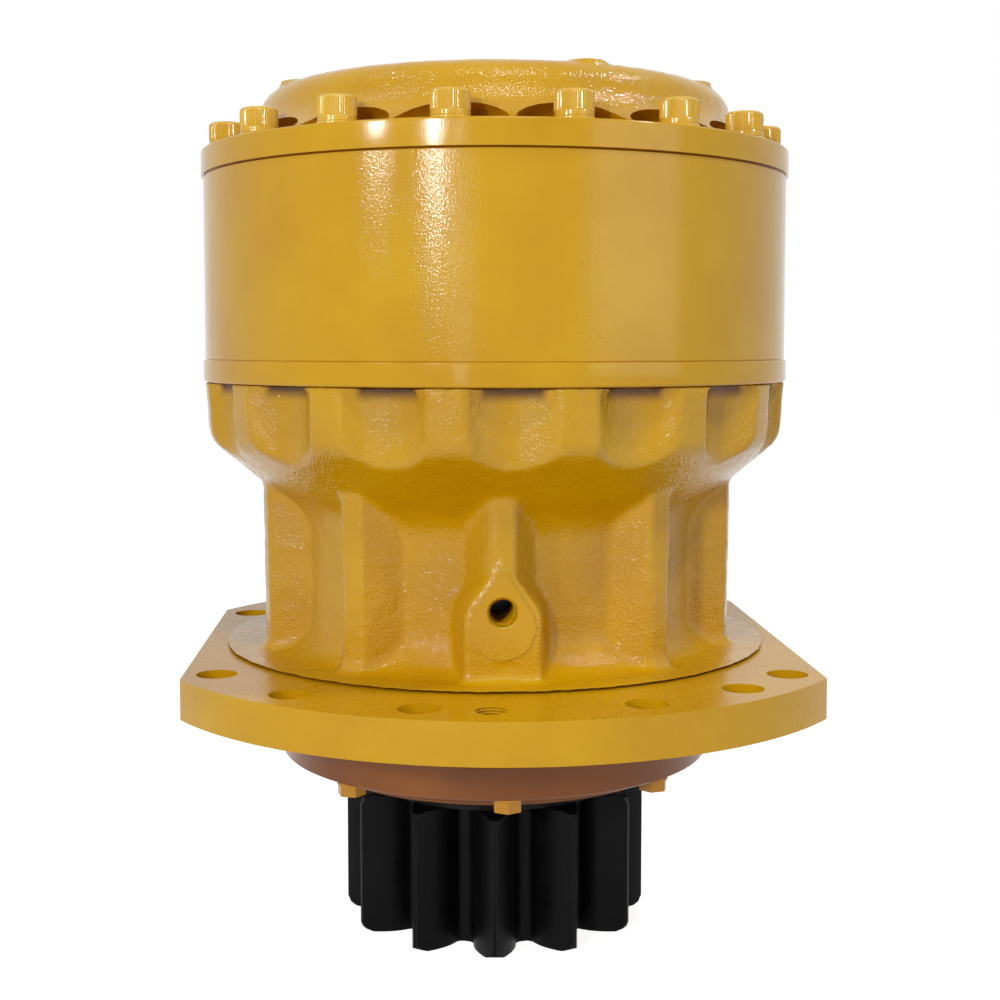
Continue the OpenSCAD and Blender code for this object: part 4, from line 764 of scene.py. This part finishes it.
def coverDome():
    x, z, r = dome["shoulder"]
    shoulder = [(x + r * cos(radians(t)), z + r * sin(radians(t))) for t in range(20, 91, 10)]
    top = z + r
    obj = turnedPiece("coverDome", dome["foot"] + shoulder + [(dome["pilotRadius"], top)] + dome["inside"], 160)
    places = aroundCircle(dome["motorCount"], dome["bossCircle"], -90 + dome["motorTurn"])
    for i in dome["bosses"]:
        boss = rod(*places[i], top - 14, dome["bossTop"], dome["bossRadius"], 40)
        modify(obj, "BOOLEAN", operation="UNION", solver="EXACT", object=boss)
        bpy.data.objects.remove(boss)
    modify(obj, "REMESH", mode="VOXEL", voxel_size=dome["voxel"] * mm)
    low = casing["coverTop"]
    markVertices(obj, "cast", lambda p: min(1, max(0, (p.z - low - 0.8) / 3)) if hypot(p.x, p.y) > 88 else 0)
    modify(obj, "SMOOTH", factor=0.5, iterations=dome["smoothing"], vertex_group="cast")
    modify(obj, "DISPLACE", texture=lumpTexture("domeLumps", dome["lumpSize"]), texture_coords="OBJECT",
           strength=dome["lump"] * mm, mid_level=0.5, vertex_group="cast")
    modify(obj, "DISPLACE", texture=lumpTexture("domeGrain", dome["fineSize"]), texture_coords="OBJECT",
           strength=dome["fineLump"] * mm, mid_level=0.5, vertex_group="cast")
    drills = [rod(x, y, 380, 420, 8, 32) for x, y in aroundCircle(dome["motorCount"], dome["motorCircle"],
                                                                 -90 + dome["motorTurn"])]
    faces = [spotCutter(x, y) for x, y in screwPlaces]
    cutAway(obj, [joinAll(drills, "motorDrills"), joinAll(faces, "spotFaces")])
    smoothByAngle(obj, 40)
    paintRecessShade(obj)
    return wearFinish(obj, domePaint, "yellow_paint", "housing", "top_cover")


def coverFlange():
    low, top, r = casing["ringTop"] + 0.1, casing["coverTop"], casing["coverRadius"]
    obj = turnedPiece("coverFlange", [(148.5, low), (r - 4, low), (r - 4, low + 0.85), (r - 0.4, low + 0.85),
                                      (r, low + 1.2), (r, top - 1.4), (r - 0.4, top - 0.4), (r - 1.4, top),
                                      (148.5, top)], 256)
    holes = [rod(x, y, low - 5, top + 5, 8.6, 24) for x, y in screwPlaces]
    cutAway(obj, [joinAll(holes, "coverHoles")])
    smoothByAngle(obj, 50, weighted=True)
    return wearFinish(obj, flangePaint, "yellow_paint", "housing", "top_cover")


def coverSealantShade():
    # the brown line of sealant in the joint, also dark to stand in for the shadow in the gap
    low, r = casing["ringTop"], casing["coverRadius"]
    obj = turnedPiece("coverSealantShade", [(r - 4.2, low + 0.02), (r - 2.2, low + 0.02), (r - 2.5, low + 0.5),
                                       (r - 2.2, low + 0.9), (r - 4.2, low + 0.9)], 256)
    smoothByAngle(obj)
    return wearFinish(obj, retainerShadedPaint, "rubber", "housing")


coverDome()
coverFlange()
coverSealantShade()
print("cover done")

# Ring gear, with lightly broken edges at its joints
ring = {"brokenEdge": 0.6}


def ringGearSkin():
    obj = weldedCopy("ring_gear", "ringGear")
    modify(obj, "DECIMATE", decimate_type="DISSOLVE", angle_limit=radians(0.6))
    pick(obj)
    bpy.ops.object.mode_set(mode="EDIT")
    bpy.ops.mesh.select_all(action="DESELECT")
    mesh = bmesh.from_edit_mesh(obj.data)
    for edge in mesh.edges:
        ends = [v.co / mm for v in edge.verts]
        edge.select = abs(ends[0].z - ends[1].z) < 0.1 and all(hypot(p.x, p.y) > 200 for p in ends)
    bmesh.update_edit_mesh(obj.data)
    bpy.ops.mesh.bevel(offset=ring["brokenEdge"] * mm, segments=2)
    bpy.ops.object.mode_set(mode="OBJECT")
    smoothByAngle(obj, 50, weighted=True)
    return wearFinish(obj, ringPaint, "yellow_paint", "housing", "ring_gear")


ringGearSkin()

# Cover screws with knurled socket heads, and their washers
screw = {"headRadius": 12, "headHeight": 16, "knurls": 54, "knurlDepth": 0.45, "socket": 14, "shank": 8,
         "length": 170, "washerRadius": 13, "washerThickness": 2,
         "profile": [(11.5, 0), (11.9, 0.4), (11.9, 3.0), (11.6, 3.5), (12, 4.1), (12, 13.6), (11.75, 14.4),
                     (11.2, 15.2), (10.4, 15.75), (9.6, 16)], "knurledFrom": 4, "knurledTo": 14}


def knurledScrew(x, y, seat):
    # the head is turned as a many sided drum, and every second line of its grip is pushed in
    sides = screw["knurls"] * 2
    head = turnedPiece("screwHead", [(0.01, 0)] + screw["profile"] + [(0.01, 16)], sides)
    for vertex in head.data.vertices:
        level = vertex.co.z / mm
        side = round(degrees(atan2(vertex.co.y, vertex.co.x)) / (360 / sides))
        if screw["knurledFrom"] < level < screw["knurledTo"] and side % 2:
            shrink = 1 - screw["knurlDepth"] / screw["headRadius"]
            vertex.co.x, vertex.co.y = vertex.co.x * shrink, vertex.co.y * shrink
    head.location = (x * mm, y * mm, seat * mm)
    settle(head)
    top = seat + screw["headHeight"]
    socket = rod(x, y, seat + 8, top + 2, screw["socket"] / 2 / cos(pi / 6), 6)
    rim = rod(x, y, top - 1.2, top + 0.6, screw["socket"] / 2 - 0.2, 32, tip=screw["socket"] / 2 + 1.6)
    cutAway(head, [socket, rim])
    shank = rod(x, y, seat - screw["length"], seat + 0.5, screw["shank"] - 0.05, 24)
    return [head, shank]


def coverScrews():
    seat = casing["coverTop"] + screw["washerThickness"]
    first = joinAll(knurledScrew(casing["screwCircle"], 0, seat), "coverScrew")
    smoothByAngle(first, 28, weighted=True)
    copies = []
    for i in range(casing["screwCount"]):
        each = first.copy()
        each.data = first.data.copy()
        bpy.context.scene.collection.objects.link(each)
        # each copy is turned round the middle to its place on the screw circle
        each.rotation_euler = (0, 0, radians(-90 + (i + 0.5) * 360 / casing["screwCount"]))
        copies.append(each)
    bpy.data.objects.remove(first)
    whole = settle(joinAll(copies, "coverScrews"))
    return wearFinish(whole, screwPaint, "yellow_paint", "housing", "cover_screws")


def coverWashers():
    low, high = casing["coverTop"], casing["coverTop"] + screw["washerThickness"]
    r = screw["washerRadius"]
    first = turnedPiece("coverWasher", [(8.5, low), (r, low), (r, high - 0.7), (r - 0.7, high), (8.5, high)], 48)
    copies = []
    for x, y in screwPlaces:
        each = first.copy()
        each.data = first.data.copy()
        bpy.context.scene.collection.objects.link(each)
        each.location = (x * mm, y * mm, 0)
        copies.append(each)
    bpy.data.objects.remove(first)
    whole = settle(joinAll(copies, "coverWashers"))
    smoothByAngle(whole)
    return wearFinish(whole, screwPaint, "yellow_paint", "housing", "cover_washers")


coverScrews()
coverWashers()
print("cover screws done")


def markEdges(obj, width):
    # the narrow faces of broken edges, which the finish colours lighter
    obj.data.color_attributes.new(name="edge", type="BYTE_COLOR", domain="CORNER")
    mark = obj.data.color_attributes["edge"].data
    places = [v.co for v in obj.data.vertices]
    for face in obj.data.polygons:
        corners = [places[i] for i in face.vertices]
        narrow = min((a - b).length for a, b in zip(corners, corners[1:] + corners[:1])) < width * mm
        level = 1.0 if narrow and len(corners) == 4 else 0.0
        for i in face.loop_indices:
            mark[i].color = (level, level, level, 1)


def dressedNode(source, name, material, slotName, body, edge=0.0, angle=30):
    # a CAD shape that is right already: welded, its sharp edges broken, and smoothed
    obj = weldedCopy(source, name)
    if edge:
        modify(obj, "DECIMATE", decimate_type="DISSOLVE", angle_limit=radians(1.5))
        softenEdges(obj, edge, angle=angle)
    else:
        smoothByAngle(obj, angle)
    return wearFinish(obj, material, slotName, body, source)


dressedNode("seal_retainer", "sealRetainer", retainerShadedPaint, "yellow_paint", "housing")
dressedNode("retainer_screws", "retainerScrews", boltPaint, "yellow_paint", "housing", edge=0.5)
dressedNode("retainer_washers", "retainerWashers", boltPaint, "yellow_paint", "housing")
pinion = dressedNode("pinion_shaft", "pinionShaft", pinionBlack, "forged_steel", "output_shaft", edge=0.45)
markEdges(pinion, 0.75)
print("retainer and pinion done")

# The pieces inside keep their CAD shapes and get their finishes
innerFinish = {
    "bearing_steel": groundSteel, "gear_steel": gearSteel, "carrier_iron": carrierIron, "bronze": bronzeFinish,
    "rubber": sealRubber, "forged_steel": pinionBlack, "yellow_paint": retainerShadedPaint,
}
slotOf = {part["node"]: part["material_slot"] for part in frame["record"]["subparts"]}
for name, obj in nodes.items():
    if not obj.hide_render:
        obj.data.materials.clear()
        # painted shade: the seal sleeve gets the black rubber finish so that it shows dark, as in the shade under the
        # retainer
        obj.data.materials.append(innerFinish["rubber" if name in ("seal_sleeve", "oil_seal") else slotOf[name]])

# Floor, lamps and camera
viewpoint = {"distance": 1.080, "height": 0.234, "turn": 3.25, "pitch": 4.0, "focal": 1519, "centre": (494.7, 450.0)}
studio = {"floorSize": 14, "skyFill": 0.09, "floorTone": 0.62, "floorGlow": 0.88}


def backgroundRays(tree, x, y):
    # 1 for the rays that see the pale background: straight, mirrored or through glass
    ray = node(tree, "ShaderNodeLightPath", x, y)
    seen = node(tree, "ShaderNodeMath", x + 180, y, operation="MAXIMUM")
    wire(tree, ray.outputs["Is Camera Ray"], seen.inputs[0])
    wire(tree, ray.outputs["Is Glossy Ray"], seen.inputs[1])
    through = node(tree, "ShaderNodeMath", x + 340, y, operation="MAXIMUM")
    wire(tree, seen.outputs[0], through.inputs[0])
    wire(tree, ray.outputs["Is Transmission Ray"], through.inputs[1])
    return through


def studioWorld():
    world = bpy.data.worlds.new("studio")
    bpy.context.scene.world = world
    world.use_nodes = True
    tree = world.node_tree
    tree.nodes.clear()
    through = backgroundRays(tree, -600, 0)
    level = setInputs(node(tree, "ShaderNodeMapRange", -50, 0), To_Min=studio["skyFill"], To_Max=1.0)
    wire(tree, through.outputs[0], level.inputs["Value"])
    sky = node(tree, "ShaderNodeBackground", 200, 0)
    sky.inputs["Color"].default_value = (1, 1, 1, 1)
    wire(tree, level.outputs[0], sky.inputs["Strength"])
    out = node(tree, "ShaderNodeOutputWorld", 400, 0)
    wire(tree, sky.outputs[0], out.inputs[0])


def studioFloor():
    clearSelection()
    bpy.ops.mesh.primitive_plane_add(size=studio["floorSize"], location=(0, 0, cadBounds[0][2] - 0.0002))
    floor = bpy.context.object
    floor.name = "studioFloor"
    material, tree = newTree("paleFloor")
    surface = node(tree, "ShaderNodeBsdfPrincipled", 0, 0)
    tone = studio["floorTone"]
    surface.inputs["Base Color"].default_value = (tone, tone, tone, 1)
    surface.inputs["Roughness"].default_value = 0.7
    surface.inputs["Emission Color"].default_value = (1, 1, 1, 1)
    through = backgroundRays(tree, -700, -200)
    glow = node(tree, "ShaderNodeMath", -250, -200, operation="MULTIPLY")
    glow.inputs[1].default_value = studio["floorGlow"]
    wire(tree, through.outputs[0], glow.inputs[0])
    wire(tree, glow.outputs[0], surface.inputs["Emission Strength"])
    out = node(tree, "ShaderNodeOutputMaterial", 300, 0)
    wire(tree, surface.outputs[0], out.inputs[0])
    floor.data.materials.append(material)


def softBox(name, bearing, distance, height, width, tall, power, tilt=0):
    # bearing counts from the camera's side round the object, to the right in degrees
    a = radians(-90 - viewpoint["turn"] + bearing)
    lamp = bpy.data.lights.new(name, "AREA")
    lamp.shape = "RECTANGLE"
    lamp.size, lamp.size_y = width, tall
    lamp.energy = power
    obj = bpy.data.objects.new(name, lamp)
    obj.location = (distance * cos(a), distance * sin(a), height)
    obj.rotation_euler = (radians(90 - tilt), 0, a + pi / 2)  # it looks back at the object
    bpy.context.scene.collection.objects.link(obj)
    return obj


studioWorld()
studioFloor()
softBox("keyLeft", bearing=-21, distance=2.4, height=0.69, width=0.15, tall=0.42, power=11)
softBox("keyHigh", bearing=-21, distance=2.4, height=0.77, width=0.16, tall=0.20, power=8)
softBox("stripLeft", bearing=-42, distance=2.4, height=0.80, width=0.20, tall=0.28, power=12)
softBox("stripMiddle", bearing=-12, distance=2.4, height=0.50, width=0.06, tall=0.90, power=1.6)
softBox("sideRight", bearing=52, distance=2.4, height=0.60, width=1.50, tall=0.90, power=8)
softBox("overLeft", bearing=-60, distance=1.4, height=2.1, width=0.14, tall=0.14, power=4, tilt=55)
softBox("overRight", bearing=77, distance=1.4, height=2.1, width=0.18, tall=0.18, power=16, tilt=55)
softBox("overFront", bearing=6, distance=1.3, height=2.3, width=0.50, tall=0.34, power=13, tilt=60)


def photoCamera():
    data = bpy.data.cameras.new("photoCamera")
    data.sensor_width = 36
    data.lens = viewpoint["focal"] / 1000 * data.sensor_width
    data.shift_x = (500 - viewpoint["centre"][0]) / 1000
    data.shift_y = (viewpoint["centre"][1] - 500) / 1000
    obj = bpy.data.objects.new("photoCamera", data)
    a = radians(-90 - viewpoint["turn"])
    obj.location = (viewpoint["distance"] * cos(a), viewpoint["distance"] * sin(a), viewpoint["height"])
    obj.rotation_euler = (radians(90 - viewpoint["pitch"]), 0, radians(-viewpoint["turn"]))
    bpy.context.scene.collection.objects.link(obj)
    bpy.context.scene.camera = obj


photoCamera()
bpy.context.scene.view_settings.view_transform = "Standard"
print("studio set")
